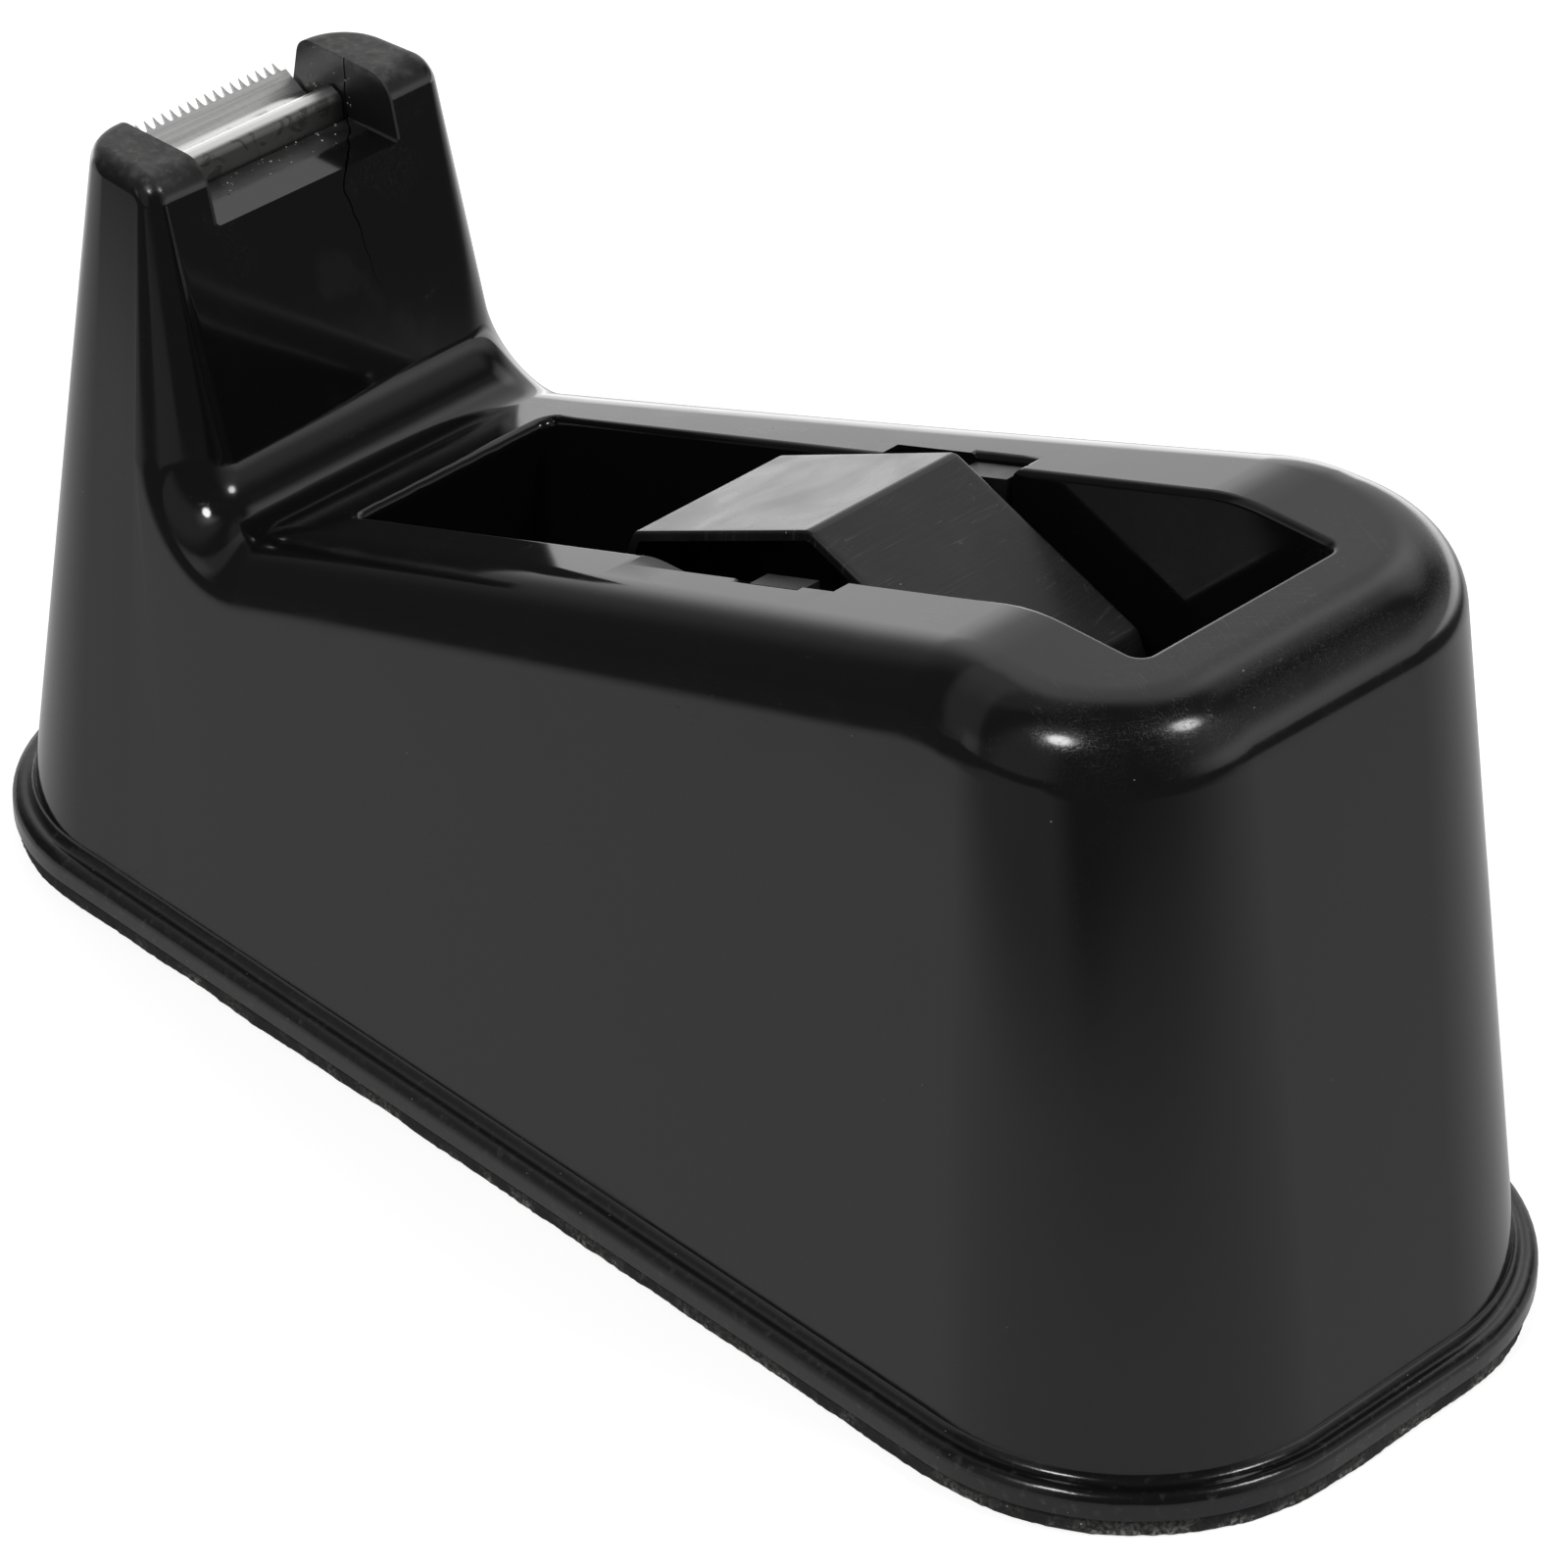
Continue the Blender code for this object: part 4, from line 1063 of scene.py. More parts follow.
class Graph:
    """Shorthand for the nodes of a material, or of the world, read in one set of coordinates."""

    def __init__(self, name: str, world: bool = False) -> None:
        """Start a Principled material in the piece's own coordinates, or a world read by direction.

        Args:
            name: Name of the material or world.
            world: Makes a world.
        """
        self.owner = (bpy.data.worlds if world else bpy.data.materials).new(name)
        self.owner.use_nodes = True
        self.nodes = self.owner.node_tree.nodes
        self.links = self.owner.node_tree.links
        self.shader = self.nodes["Background" if world else "Principled BSDF"]
        self.place = self.nodes.new("ShaderNodeTexCoord").outputs["Generated" if world else "Object"]
        self.x, self.y, self.z = self.split(self.place)

    def feed(self, socket: Socket, value: Any) -> None:
        """Link an output to a socket, or set the socket to a plain value.

        Args:
            socket: Socket to fill.
            value: Output or plain value.
        """
        if isinstance(value, Socket):
            self.links.new(value, socket)
        else:
            socket.default_value = value

    def node(self, kind: str, inputs: dict[Any, Any], **settings: Any) -> bpy.types.Node:
        """Make a shader node.

        Args:
            kind: Its type, without the common first words.
            inputs: Outputs or plain values, by name or number of the socket.
            settings: Properties of the node.

        Returns:
            The node.
        """
        node = self.nodes.new("ShaderNode" + kind)
        for key, value in settings.items():
            setattr(node, key, value)
        for key, value in inputs.items():
            self.feed(node.inputs[key], value)
        return node

    def split(self, vector: Socket) -> tuple[Socket, ...]:
        """The three components of a vector."""
        return tuple(self.node("SeparateXYZ", {0: vector}).outputs)

    def plain(self, how: str, first: Value, second: Value = 0.0) -> Socket:
        """Arithmetic that is not clamped."""
        return self.node("Math", {0: first, 1: second}, operation=how).outputs[0]

    def both(self, *values: Value) -> Socket:
        """Product of several masks, kept between 0 and 1."""
        return reduce(lambda first, second: self.clamped("MULTIPLY", first, second), values)

    def either(self, *values: Value) -> Socket:
        """Highest of several masks."""
        return reduce(lambda first, second: self.clamped("MAXIMUM", first, second), values)

    def clamped(self, how: str, first: Value, second: Value) -> Socket:
        """Arithmetic whose result is kept between 0 and 1."""
        return self.node("Math", {0: first, 1: second}, operation=how, use_clamp=True).outputs[0]

    def sum(self, parts: Iterable[tuple[Value, float]], start: float) -> Socket:
        """Start value plus every mask times its own weight, not clamped."""
        weighted = (self.plain("MULTIPLY", mask, weight) for mask, weight in parts)
        return reduce(lambda total, part: self.plain("ADD", total, part), weighted, start)

    def step(self, value: Value, low: float, high: float) -> Socket:
        """Smooth rise from 0 at low to 1 at high.

        Args:
            value: What is read.
            low: Where 0 ends; it may be the larger of the two.
            high: Where 1 starts.

        Returns:
            The mask.
        """
        start, end = (1.0, 0.0) if low > high else (0.0, 1.0)
        inputs = {"Value": value, "From Min": min(low, high), "From Max": max(low, high), "To Min": start,
                  "To Max": end}
        return self.node("MapRange", inputs, interpolation_type='SMOOTHSTEP').outputs[0]

    def inside(self, value: Value, low: float, high: float, soft: float) -> Socket:
        """Mask that is 1 between two limits."""
        return self.both(self.step(value, low - soft, low + soft),
                         self.step(value, high + soft, high - soft))

    def turned(self, turn: Sequence[float], scale: Sequence[float]) -> Socket:
        """Coordinates turned by Euler angles in degrees, then scaled along each axis."""
        spun = self.node("Mapping", {"Vector": self.place, "Rotation": [math.radians(a) for a in turn]})
        return self.node("VectorMath", {0: spun.outputs[0], 1: scale}, operation='MULTIPLY').outputs[0]

    def toward(self, aim: Sequence[float]) -> Socket:
        """Coordinates' reach along a vector."""
        return self.node("VectorMath", {0: self.place, 1: aim}, operation='DOT_PRODUCT').outputs["Value"]

    def rays(self, *kinds: str) -> Socket:
        """Mask of the rays that look at this, such as Camera or Glossy."""
        path = self.node("LightPath", {})
        return self.either(*(path.outputs[f"Is {kind} Ray"] for kind in kinds))

    def cloud(self, scale: float, detail: float = 3.0, place: Any = None, warp: float = 0.0) -> Socket:
        """Fractal noise; scale is in features to a metre, or to a unit of the given coordinates."""
        inputs = {"Vector": place or self.place, "Scale": scale, "Detail": detail, "Distortion": warp}
        return self.node("TexNoise", inputs).outputs[0]

    def hairlines(self, turn: Sequence[float], scale: Sequence[float], width: float,
                  cover: float) -> Socket:
        """Broken hairline scratches.

        Args:
            turn: Direction of the scratches, Euler degrees.
            scale: Noise scale along each turned axis; scratches run along the smallest.
            width: Share of the noise range that a scratch takes.
            cover: Share of the surface that has scratches.

        Returns:
            Scratch mask.
        """
        place = self.turned(turn, scale)
        level = self.plain("ABSOLUTE", self.plain("SUBTRACT", self.cloud(1.0, 0.0, place), 0.5))
        patch = self.step(self.cloud(120.0, 2.0, warp=0.5), 0.66 - 0.3 * cover, 0.72 - 0.3 * cover)
        return self.both(self.step(level, width, 0.0), patch)

    def specks(self, pitch: float, size: float, share: float) -> Socket:
        """Scattered round specks.

        Args:
            pitch: Distance between places where a speck may lie.
            size: Radius of a speck.
            share: Share of the places that have one.

        Returns:
            Speck mask.
        """
        cells = self.node("TexVoronoi", {"Vector": self.place, "Scale": 1.0 / pitch})
        near = self.step(cells.outputs["Distance"], size / pitch, 0.5 * size / pitch)
        chance = self.split(cells.outputs["Color"])[0]
        return self.both(near, self.step(chance, share, share - 0.01))

    def mix(self, factor: Value, low: Value, high: Value) -> Socket:
        """Blend of two numbers."""
        return self.node("Mix", {0: factor, 2: low, 3: high}).outputs[0]

    def tint(self, factor: Value, low: Any, high: Any) -> Socket:
        """Blend of two colours."""
        return self.node("Mix", {0: factor, 6: opaque(low), 7: opaque(high)}, data_type='RGBA').outputs[2]

    def relief(self, height: Value, depth: float, under: Any = None) -> Socket:
        """Bumped normal: depth in metres of a height of 1, on top of the normal under it."""
        inputs = {"Distance": depth, "Height": height} | ({"Normal": under} if under else {})
        return self.node("Bump", inputs).outputs[0]

    def finish(self, colour: Any, roughness: Value, normal: Any = None, metallic: float = 0.0) -> Material:
        """Wire the Principled shader.

        Args:
            colour: Base colour.
            roughness: Roughness.
            normal: Bumped normal.
            metallic: How metallic it is.

        Returns:
            The material.
        """
        inputs = {"Base Color": opaque(colour), "Roughness": roughness, "Metallic": metallic}
        for key, value in (inputs | ({"Normal": normal} if normal else {})).items():
            self.feed(self.shader.inputs[key], value)
        return self.owner


@dataclass(frozen=True)
class MouldedGloss:
    """Black plastic polished by its mould; dusty ears, scuffed tail and handling haze.

    Places are levels in the housing at which a kind of wear starts, as (none, full).
    """

    notch_z: float
    notch_half: float
    colour: Colour = (0.0068, 0.0068, 0.007)
    worn_colour: Colour = (0.05, 0.05, 0.049)
    dust_colour: Colour = (0.42, 0.41, 0.39)
    roughness: float = 0.085
    worn_roughness: float = 0.5
    tower_x: Point2 = (-60.5 * MM, -63.5 * MM)
    ear_z: Point2 = (89.1 * MM, 90.9 * MM)
    sill_x: Point2 = (-68.0 * MM, -69.0 * MM)
    tail_x: Point2 = (58.0 * MM, 78.0 * MM)
    tail_z: Point2 = (81.0 * MM, 89.0 * MM)
    foot_z: Point2 = (8.0 * MM, 4.5 * MM)

    def make(self) -> Material:
        """Build the material.

        Returns:
            The material.
        """
        g = Graph("gloss_housing")
        tower = g.step(g.x, *self.tower_x)
        width = g.plain("ABSOLUTE", g.y)
        grain = g.cloud(900.0, 4.0)
        patchy = g.cloud(210.0, 3.0, warp=0.8)
        ear = g.both(tower, g.step(g.z, *self.ear_z))
        cheek = g.both(tower, g.step(width, self.notch_half + 0.5 * MM, self.notch_half + 0.2 * MM),
                       g.step(g.z, self.notch_z + 0.1 * MM, self.notch_z + 0.5 * MM))
        sill = g.both(tower, g.inside(g.z, self.notch_z - 0.2 * MM, self.notch_z + 0.1 * MM, 0.05 * MM),
                      g.step(g.x, *self.sill_x), g.step(width, self.notch_half + 0.2 * MM, self.notch_half))
        tail = g.both(g.step(g.x, *self.tail_x), g.step(g.z, *self.tail_z))
        foot = g.step(g.z, *self.foot_z)
        scratches = g.either(g.hairlines((0, 0, 25), (60, 2600, 2600), 0.012, 0.9),
                             g.hairlines((0, 0, -50), (90, 3000, 3000), 0.010, 0.8),
                             g.hairlines((20, 0, 80), (90, 2800, 2800), 0.010, 0.7))
        faint = g.either(g.hairlines((0, 10, 8), (12, 1500, 1500), 0.004, 0.35),
                         g.hairlines((0, 70, 10), (16, 1700, 1700), 0.004, 0.3))
        scuffs = g.both(tail, scratches)
        smudge = g.step(g.cloud(70.0, 5.0, warp=1.2), 0.53, 0.66)
        worn = g.either(ear, g.both(cheek, 0.12), g.both(sill, 0.6))
        dust = g.either(g.specks(2.6 * MM, 0.09 * MM, 0.05), g.specks(5.0 * MM, 0.16 * MM, 0.04),
                        g.both(foot, g.specks(1.1 * MM, 0.10 * MM, 0.22)),
                        g.both(g.either(cheek, sill), g.specks(1.3 * MM, 0.13 * MM, 0.20)),
                        g.both(tail, g.specks(1.5 * MM, 0.06 * MM, 0.14)))
        dusty_ear = g.both(ear, g.step(grain, 0.45, 0.72), 0.12)
        base = g.tint(g.both(worn, g.step(patchy, 0.3, 0.75)), self.colour, self.worn_colour)
        light = g.either(g.both(dust, 0.8), g.both(scuffs, 0.10), dusty_ear,
                         g.both(foot, g.step(grain, 0.55, 0.8), 0.10))
        colour = g.tint(light, base, self.dust_colour)
        rough = g.mix(g.both(smudge, 0.5), self.roughness, 0.2)
        rough = g.mix(g.both(tail, 0.45), rough, 0.22)
        rough = g.mix(g.both(foot, 0.3), rough, 0.4)
        rough = g.mix(g.either(worn, cheek), rough, self.worn_roughness)
        rough = g.mix(g.either(dust, g.both(g.either(g.both(scuffs, 0.5), faint), 0.6)), rough, 0.6)
        skin = g.relief(g.cloud(45.0, 1.0), 0.03 * MM)
        skin = g.relief(g.either(g.both(scuffs, 0.4), g.both(faint, 0.3)), 0.003 * MM, skin)
        normal = g.relief(g.both(g.either(worn, g.both(foot, 0.4)), grain), 0.05 * MM, skin)
        return g.finish(colour, rough, normal)


@dataclass(frozen=True)
class DrumPlastic:
    """Black plastic of the core drum, greyed and scratched round its faces by tape cores."""

    colour: Colour = (0.010, 0.010, 0.0103)
    rubbed_colour: Colour = (0.022, 0.022, 0.022)
    dust_colour: Colour = (0.5, 0.49, 0.46)
    roughness: float = 0.25
    half: float = 11.0 * MM

    def make(self) -> Material:
        """Build the material.

        Returns:
            The material.
        """
        g = Graph("drum_plastic")
        end = g.step(g.plain("ABSOLUTE", g.y), self.half - 1.4 * MM, self.half - 0.2 * MM)
        rubs = g.either(g.hairlines((0, 0, 90), (40, 2400, 40), 0.010, 0.9),
                        g.hairlines((0, 0, 78), (60, 2800, 60), 0.008, 0.5),
                        g.hairlines((0, 0, 20), (90, 2600, 2600), 0.008, 0.4))
        cloudy = g.cloud(75.0, 4.0, warp=0.7)
        dust = g.either(g.specks(2.4 * MM, 0.10 * MM, 0.05),
                        g.both(end, g.specks(1.1 * MM, 0.11 * MM, 0.2)))
        base = g.tint(g.step(cloudy, 0.35, 0.75), self.colour, self.rubbed_colour)
        light = g.either(g.both(dust, 0.8), g.both(rubs, 0.12))
        rough = g.mix(g.step(cloudy, 0.3, 0.7), self.roughness, self.roughness + 0.1)
        rough = g.mix(g.either(dust, g.both(rubs, 0.4)), rough, 0.55)
        skin = g.relief(g.cloud(60.0, 1.0), 0.04 * MM)
        normal = g.relief(g.either(rubs, g.both(g.cloud(1600.0, 2.0), 0.3)), 0.003 * MM, skin)
        return g.finish(g.tint(light, base, self.dust_colour), rough, normal)


@dataclass(frozen=True)
class SatinPlastic:
    """Plain moulded plastic with a satin face, for slides and bushes."""

    name: str
    colour: Colour
    shade: Colour
    roughness: float
    dust_colour: Colour = (0.4, 0.39, 0.37)

    def make(self) -> Material:
        """Build the material.

        Returns:
            The material.
        """
        g = Graph(self.name)
        cloudy = g.cloud(160.0, 4.0)
        rubs = g.hairlines((0, 90, 0), (60, 2400, 2400), 0.012, 0.6)
        dust = g.specks(1.6 * MM, 0.1 * MM, 0.12)
        rough = g.mix(g.step(cloudy, 0.3, 0.7), self.roughness, self.roughness + 0.12)
        base = g.tint(g.step(cloudy, 0.35, 0.7), self.colour, self.shade)
        normal = g.relief(g.either(rubs, g.both(g.cloud(1400.0, 2.0), 0.4)), 0.006 * MM)
        colour = g.tint(g.both(dust, 0.6), base, self.dust_colour)
        return g.finish(colour, g.mix(rubs, rough, 0.6), normal)


@dataclass(frozen=True)
class StripSteel:
    """Bright rolled strip: grain along its width, dried adhesive in the trough, painted shade on the leg
    behind the hump.
    """

    colour: Colour = (0.93, 0.93, 0.92)
    stain: Colour = (0.34, 0.33, 0.31)
    worn: Colour = (0.6, 0.6, 0.595)
    # painted shade: near-black grey that darkens the leg behind the hump, in place of the dark it reflects
    painted_shade: Colour = (0.045, 0.044, 0.041)
    roughness: float = 0.27
    trough_x: Point2 = (-78.9 * MM, -76.9 * MM)
    behind_x: Point2 = (-74.0 * MM, -73.4 * MM)

    def make(self) -> Material:
        """Build the material.

        Returns:
            The material.
        """
        g = Graph("blade_steel")
        grain = g.cloud(1.0, 3.0, g.turned((0, 0, 0), (3500, 40, 3500)))
        streak = g.cloud(1.0, 2.0, g.turned((0, 0, 0), (900, 25, 900)))
        trough = g.inside(g.x, *self.trough_x, 0.5 * MM)
        behind = g.step(g.x, *self.behind_x)
        gum = g.both(g.either(g.both(trough, 0.8), behind), g.step(g.cloud(420.0, 4.0, warp=1.0), 0.5, 0.6))
        spots = g.specks(1.6 * MM, 0.16 * MM, 0.12)
        colour = g.tint(g.either(g.both(gum, 0.75), g.both(spots, 0.5)), self.colour, self.stain)
        colour = g.tint(g.both(g.step(streak, 0.45, 0.30), 0.5), colour, self.worn)
        # painted shade over the leg behind the hump
        colour = g.tint(g.both(behind, 0.85), colour, self.painted_shade)
        rough = g.mix(g.step(grain, 0.3, 0.7), self.roughness, self.roughness + 0.08)
        rough = g.mix(g.either(gum, g.both(behind, 0.8)), rough, 0.6)
        normal = g.relief(g.cloud(1.0, 2.0, g.turned((0, 0, 0), (2600, 30, 2600))), 0.0007 * MM)
        normal = g.relief(gum, 0.02 * MM, normal)
        return g.finish(colour, rough, normal, 1.0)


@dataclass(frozen=True)
class ZincPlate:
    """Bright zinc plating with soft spangle and dull storage marks."""

    colour: Colour = (0.62, 0.62, 0.64)
    dull: Colour = (0.42, 0.42, 0.43)
    roughness: float = 0.3

    def make(self) -> Material:
        """Build the material.

        Returns:
            The material.
        """
        g = Graph("zinc_steel")
        spangle = g.node("TexVoronoi", {"Vector": g.place, "Scale": 420.0})
        facet = g.split(spangle.outputs["Color"])[0]
        marks = g.step(g.cloud(140.0, 4.0, warp=0.6), 0.5, 0.68)
        rough = g.mix(facet, self.roughness, self.roughness + 0.15)
        colour = g.tint(g.both(marks, 0.8), self.colour, self.dull)
        rubs = g.hairlines((0, 0, 30), (50, 2400, 2400), 0.01, 0.6)
        normal = g.relief(g.either(g.both(facet, 0.5), rubs), 0.004 * MM)
        return g.finish(colour, g.mix(marks, rough, 0.55), normal, 1.0)


@dataclass(frozen=True)
class CastIron:
    """Rough grey casting with a dark skin."""

    colour: Colour = (0.11, 0.108, 0.105)
    rubbed: Colour = (0.22, 0.215, 0.21)
    roughness: float = 0.72
    metallic: float = 0.55

    def make(self) -> Material:
        """Build the material.

        Returns:
            The material.
        """
        g = Graph("cast_ballast")
        sand = g.cloud(1300.0, 5.0)
        lumps = g.cloud(190.0, 4.0)
        colour = g.tint(g.step(lumps, 0.42, 0.7), self.colour, self.rubbed)
        rough = g.mix(sand, self.roughness - 0.1, self.roughness + 0.15)
        normal = g.relief(sand, 0.12 * MM, g.relief(lumps, 0.25 * MM))
        return g.finish(colour, rough, normal, self.metallic)


@dataclass(frozen=True)
class FoamRubber:
    """Black foam rubber with open pores and a ragged, dusty cut edge."""

    colour: Colour = (0.022, 0.022, 0.022)
    grey: Colour = (0.13, 0.128, 0.122)
    dust_colour: Colour = (0.62, 0.6, 0.57)
    roughness: float = 0.9
    thickness: float = 2.2 * MM

    def make(self) -> Material:
        """Build the material.

        Returns:
            The material.
        """
        g = Graph("foot_foam")
        pores = g.cloud(2200.0, 3.0)
        patch = g.cloud(130.0, 4.0, warp=1.0)
        low = g.step(g.z, self.thickness * 0.62, self.thickness * 0.2)
        grey = g.both(g.step(patch, 0.42, 0.62), g.step(pores, 0.36, 0.62))
        lint = g.either(g.specks(0.9 * MM, 0.14 * MM, 0.22), g.specks(1.7 * MM, 0.2 * MM, 0.14))
        ragged = g.both(low, g.step(patch, 0.46, 0.6), g.step(g.cloud(1500.0, 2.0), 0.5, 0.62))
        colour = g.tint(g.both(grey, 0.8), self.colour, self.grey)
        colour = g.tint(g.either(g.both(lint, g.step(patch, 0.45, 0.58)), g.both(ragged, 0.55)), colour,
                        self.dust_colour)
        normal = g.relief(pores, 0.12 * MM, g.relief(patch, 0.2 * MM))
        return g.finish(colour, self.roughness, normal)


@dataclass(frozen=True)
class DriedGum:
    """Crumbs of dust and dried adhesive."""

    colour: Colour = (0.55, 0.53, 0.49)
    shade: Colour = (0.12, 0.115, 0.11)
    roughness: float = 0.65

    def make(self) -> Material:
        """Build the material.

        Returns:
            The material.
        """
        g = Graph("dried_gum")
        fleck = g.cloud(1500.0, 3.0)
        normal = g.relief(g.cloud(3000.0, 2.0), 0.05 * MM)
        return g.finish(g.tint(g.step(fleck, 0.4, 0.6), self.shade, self.colour), self.roughness, normal)


# ---------------- places and fitting
@dataclass(frozen=True)
class Layout:
    """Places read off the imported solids."""

    spin: Vector
    posts: list[Point2]
    plate_z: float
    pad_top: float

    @classmethod
    def read(cls) -> "Layout":
        """Take the drum's axis, the screw places and the levels from the frame.

        Returns:
            The layout.
        """
        joints = {joint["name"]: joint for joint in frame["record"]["behaviour"]["joints"]}
        posts = []
        for number in range(1, SCREWS + 1):
            low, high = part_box(f"base_screw_{number}")
            posts.append(((low[0] + high[0]) / 2, (low[1] + high[1]) / 2))
        return cls(Vector(joints["drum_spin"]["pos_m"]), posts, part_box("base_plate")[0][2],
                   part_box("foot_pad")[1][2])


def fit(piece: Piece, body: str, node: str = "") -> Piece:
    """Hand a finished piece over to the frame.

    Args:
        piece: The piece, in place.
        body: Body that it rides on.
        node: Solid that it stands for, if any.

    Returns:
        The piece.
    """
    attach(piece, body)
    if node:
        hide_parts(node)
    LOG.info("%s: %d faces, rides on %s", piece.name, len(piece.data.polygons), body)
    return piece


def dress(piece: Piece, material: Material) -> Piece:
    """Give a new piece its one material.

    Args:
        piece: The piece.
        material: Its material.

    Returns:
        The piece.
    """
    piece.data.materials.clear()
    piece.data.materials.append(material)
    return piece


def redress(node: str, material: Material, slot: str) -> None:
    """Give a carried-over solid a full material in place of its plain one.

    Args:
        node: Node of the solid.
        material: Its new material.
        slot: The record's material slot.
    """
    solid = frame["nodes"][node]
    if not solid.material_slots:
        solid.data.materials.append(material)
    for place in solid.material_slots:
        place.link = 'OBJECT'
        place.material = material
    LOG.info("%s keeps its solid, finished as %s", node, slot)


# ---------------- crack and crumbs
@dataclass
class Crack:
    """Hairline break from the far ear over the sill and down the tower's raked face."""

    half_width: float = 0.144 * MM
    height: float = 0.3 * MM
    depth: float = 0.7 * MM
    wander: float = 0.32 * MM
    stop: float = 1.1 * MM
    face: Point3 = (0.971, 0.0, 0.2389)
    ear_leg: Sequence[Point3] = (
        (-73.0, 13.4, 92.0), (-72.7, 13.4, 88.5), (-72.8, 13.4, 86.0), (-72.6, 13.4, 83.2))
    sill_leg: Sequence[Point3] = (
        (-72.9, 13.8, 83.7), (-70.5, 11.9, 83.7), (-67.3, 8.7, 83.7), (-64.0, 5.3, 83.7))
    face_leg: Sequence[Point3] = (
        (-64.3, 5.5, 84.3), (-63.8, 5.0, 82.5), (-63.5, 4.7, 81.2), (-62.6, 5.6, 77.4),
        (-61.5, 6.2, 73.1), (-61.0, 6.4, 71.0), (-60.5, 7.1, 69.0), (-60.0, 8.1, 67.1))

    def tools(self) -> list[Piece]:
        """Thin wedges that open the break.

        Returns:
            One cutter for each surface that the break crosses.
        """
        legs = ((self.ear_leg, Vector((0, -1, 0)), 1.0), (self.sill_leg, Vector((0, 0, 1)), 1.0),
                (self.face_leg, Vector(self.face), 0.0))
        return [self.wedge(leg, out, end) for leg, out, end in legs]

    def wedge(self, leg: Sequence[Sequence[float]], out: Vector, end_share: float) -> Piece:
        """Jagged three-sided bar along a leg, its sharp side sunk into the surface.

        Args:
            leg: Points on the surface, in millimetres.
            out: Outward normal of the surface.
            end_share: Width left at the end of the leg.

        Returns:
            The cutter.
        """
        points = [Vector(p) * MM for p in leg]
        stops = []
        for a, b in zip(points, points[1:]):
            count = max(2, round((b - a).length / self.stop))
            stops += [a.lerp(b, k / count) for k in range(count)]
        stops.append(points[-1])
        loops = []
        for i, stop in enumerate(stops):
            run = stops[min(i + 1, len(stops) - 1)] - stops[max(i - 1, 0)]
            side = run.cross(out).normalized()
            share = 1.0 - (1.0 - end_share) * (i / (len(stops) - 1)) ** 2
            middle = stop + side * noise.noise(stop * 900.0) * self.wander
            width = side * self.half_width * max(share, 0.12) * (1.0 + 0.5 * noise.noise(stop * 1500.0))
            raised = middle + out * self.height
            loops.append([raised + width, raised - width, middle - out * self.depth * max(share, 0.3)])
        return Bench.skinned("tool_crack", loops)


@dataclass(frozen=True)
class Patch:
    """Stretch of surface that holds crumbs: a start, two edges, and the outward normal."""

    start: Vector
    along: Vector
    over: Vector
    out: Vector
    count: int
    size: float


@dataclass
class Crumbs:
    """Grains of dust and dried adhesive that lie on one or more patches."""

    name: str
    patches: list[Patch]
    seed: int = 7

    def build(self) -> Piece:
        """Scatter flattened, lumpy grains.

        Returns:
            One object with all grains.
        """
        chance = random.Random(self.seed)
        bm = bmesh.new()
        for patch in self.patches:
            turn = patch.out.to_track_quat('Z', 'Y').to_matrix()
            for _ in range(patch.count):
                place = patch.start + patch.along * chance.random() + patch.over * chance.random() ** 1.5
                size = patch.size * (0.35 + 0.9 * chance.random() ** 2)
                spun = turn @ Matrix.Rotation(chance.uniform(0, 2 * math.pi), 3, 'Z')
                grown = bmesh.ops.create_icosphere(bm, subdivisions=2, radius=1.0)["verts"]
                stretch = Vector((size * chance.uniform(0.7, 1.7), size, size * 0.55))
                for vert in grown:
                    lump = 1.0 + 0.35 * noise.noise(vert.co * 1.7 + place * 9000.0)
                    local = Vector(vert.co[i] * stretch[i] * lump for i in range(3))
                    vert.co = place + spun @ local + patch.out * size * 0.1
        return Bench.make(self.name, bm, 60.0)


# ---------------- base
@dataclass
class FootPad:
    """Foam rubber sheet under the flange, cut by hand: its edge wavers and frays."""

    form: DraftedForm
    height: float
    reach: float = 2.1 * MM
    waver: float = 0.28 * MM
    fray: float = 0.13 * MM
    lift: float = 0.1 * MM
    step: float = 0.55 * MM
    profile: Outline = ((-0.9, 0.0), (-0.28, 0.02), (-0.05, 0.09), (0.03, 0.25), (0.0, 0.5), (0.02, 0.75),
                        (-0.03, 0.92), (-0.22, 1.0), (-0.9, 1.0))

    def build(self) -> Piece:
        """Skin the sheet from its plan outline.

        Returns:
            The pad.
        """
        near = outset(self.form.foot_points(self.form.stations(), self.form.foot_z), self.reach)
        plan = [(p.x, p.y) for p in near] + [(p.x, -p.y) for p in reversed(near)]
        plan = divided(plan, self.step)
        loops = []
        for out, rise in self.profile:
            loop = []
            for index, (x, y) in enumerate(plan):
                z = self.height * rise
                spot = Vector((x, y, z))
                waver = self.waver * noise.noise(Vector((x, y, 0.0)) * 90.0)
                fray = self.fray * noise.noise(spot * 1400.0) * (1.0 if out > -0.5 else 0.0)
                u, v = mitred(plan, index, out * MM + waver + fray)
                lift = self.lift * noise.noise(Vector((x, y, 0.1)) * 260.0) if 0.0 < rise < 1.0 else 0.0
                loop.append(Vector((u, v, max(0.0, z + lift))))
            loops.append(loop)
        return Bench.skinned("foot_pad_sheet", loops, 50.0)


